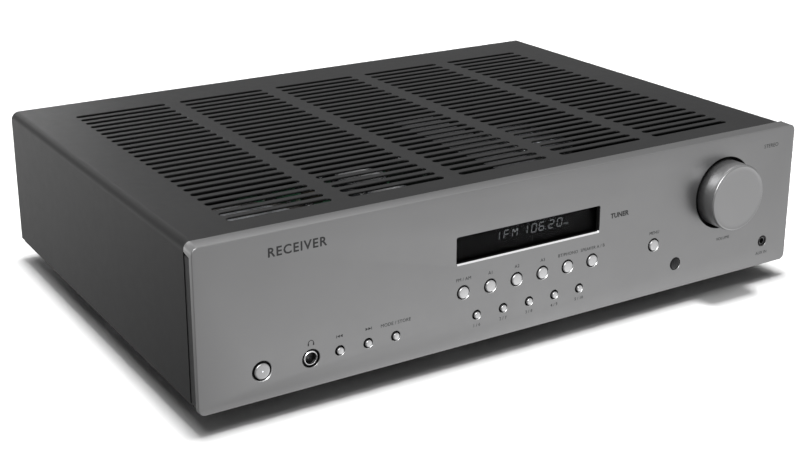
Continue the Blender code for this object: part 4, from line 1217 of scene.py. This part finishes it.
# ---- camera, floor and light ----
def aimed(name, data, place, direction):
    """A camera or a light that looks along a direction."""
    made = bpy.data.objects.new(name, data)
    scene.collection.objects.link(made)
    made.location = place
    made.rotation_euler = direction.to_track_quat("-Z", "Y").to_euler()
    return made


def build_camera():
    azimuth, elevation = math.radians(31.84), math.radians(17.70)
    level = math.cos(elevation)
    ahead = Vector((math.sin(azimuth) * level, math.cos(azimuth) * level, -math.sin(elevation)))
    data = bpy.data.cameras.new("camera")
    scene.camera = aimed("camera", data, (-0.4682, -0.7605, 0.358), ahead)
    data.sensor_width = 36.0
    data.lens = 62.3
    data.shift_y = -0.075
    data.clip_start = 0.01


def build_floor():
    bm = bmesh.new()
    bm.faces.new([bm.verts.new((x, y, 0.0)) for x, y in ((-6, -6), (6, -6), (6, 6), (-6, 6))])
    floor = new_object("floor", bm)
    floor.data.materials.append(surface("pale_floor", (0.90, 0.90, 0.90), 0.9, 0.0, 3.0, 0.0, patch=0.004))
    floor.visible_glossy = False


def build_world():
    """A studio that only metal and gloss reflect: bright above and low at the right, dark at the left."""
    world = bpy.data.worlds.new("studio")
    scene.world = world
    world.use_nodes = True
    tree = world.node_tree
    ramp, times, plus = partial(between, tree), partial(calc, tree, "MULTIPLY"), partial(calc, tree, "ADD")
    x, y, z = add(tree, "SeparateXYZ", i0=add(tree, "TexCoord").outputs["Generated"]).outputs
    lean = times(x, ramp(y, 0.0, -0.45, -0.2, 0.3))
    ceiling = ramp(plus(z, lean), 0.10, 1.35, -0.05, 0.35)
    right = ramp(x, 0.0, 0.35, 0.35, 0.60)
    above = plus(ceiling, times(right, ramp(z, 1.0, 0.0, 0.15, 0.40)))
    middle = times(ramp(x, 0.0, 1.0, 0.36, 0.52), ramp(x, 1.0, 0.1, 0.58, 0.70))
    pool = times(middle, ramp(z, 1.3, 0.0, -0.44, -0.31))
    across = plus(ramp(x, 0.75, 0.0, -0.60, -0.25), ramp(x, 0.10, 1.45, -0.25, 0.25))
    low_back = ramp(z, 0.40, 2.00, -0.42, -0.20)
    below = ramp(y, plus(across, pool), low_back, -0.2, 0.2)
    tree.nodes["Background"].inputs["Color"].default_value = (1.0, 1.0, 1.0, 1.0)
    tree.links.new(ramp(z, below, above, -0.10, 0.05), tree.nodes["Background"].inputs["Strength"])
    world.cycles_visibility.diffuse = False


def build_lights():
    # name, place, aim, width, height, watts, kind of ray that doesn't see it
    softboxes = (
        ("overhead", (0.0, 0.0, 4.0), (0.0, 0.0, 0.0), 0.6, 0.6, 200.0, "glossy"),
        ("ceiling", (0.0, 0.0, 3.2), (0.0, 0.0, 0.0), 3.2, 3.2, 60.0, "glossy"),
        ("front_top", (-0.95, -1.25, 1.95), (0.0, 0.0, 0.05), 0.8, 0.8, 9.0, "diffuse"),
        ("front_left", (-0.75, -2.0, 1.25), (0.0, 0.0, 0.05), 0.9, 0.9, 60.0, "diffuse"),
        ("rear_top", (0.55, 1.50, 2.20), (0.0, 0.1, 0.05), 1.2, 1.2, 5.0, None),
        ("back_left", (0.10, 2.6, 0.55), (-0.1, 0.0, 0.1), 1.0, 0.5, 6.0, None),
    )
    for name, place, aim, width, height, watts, unseen_by in softboxes:
        light = bpy.data.lights.new(name, "AREA")
        light.shape = "RECTANGLE"
        light.size, light.size_y = width, height
        light.energy = watts
        made = aimed(name, light, place, Vector(aim) - Vector(place))
        if unseen_by:
            setattr(made, "visible_" + unseen_by, False)


for build in (
    build_front_panel,
    build_fascia_frame,
    build_cover,
    build_screws,
    build_feet,
    build_buttons,
    build_knob,
    build_front_sockets,
    build_display,
    build_front_legends,
    build_speaker_terminals,
    build_line_sockets,
    build_antenna_block,
    build_mains_parts,
    build_ground_terminal,
    build_rear_legends,
    build_transformer,
    build_capacitors,
    build_board_parts,
    build_heatsink_devices,
    build_tuner,
    finish_kept_nodes,
    build_camera,
    build_floor,
    build_world,
    build_lights,
):
    build()
scene.view_settings.view_transform = "Standard"
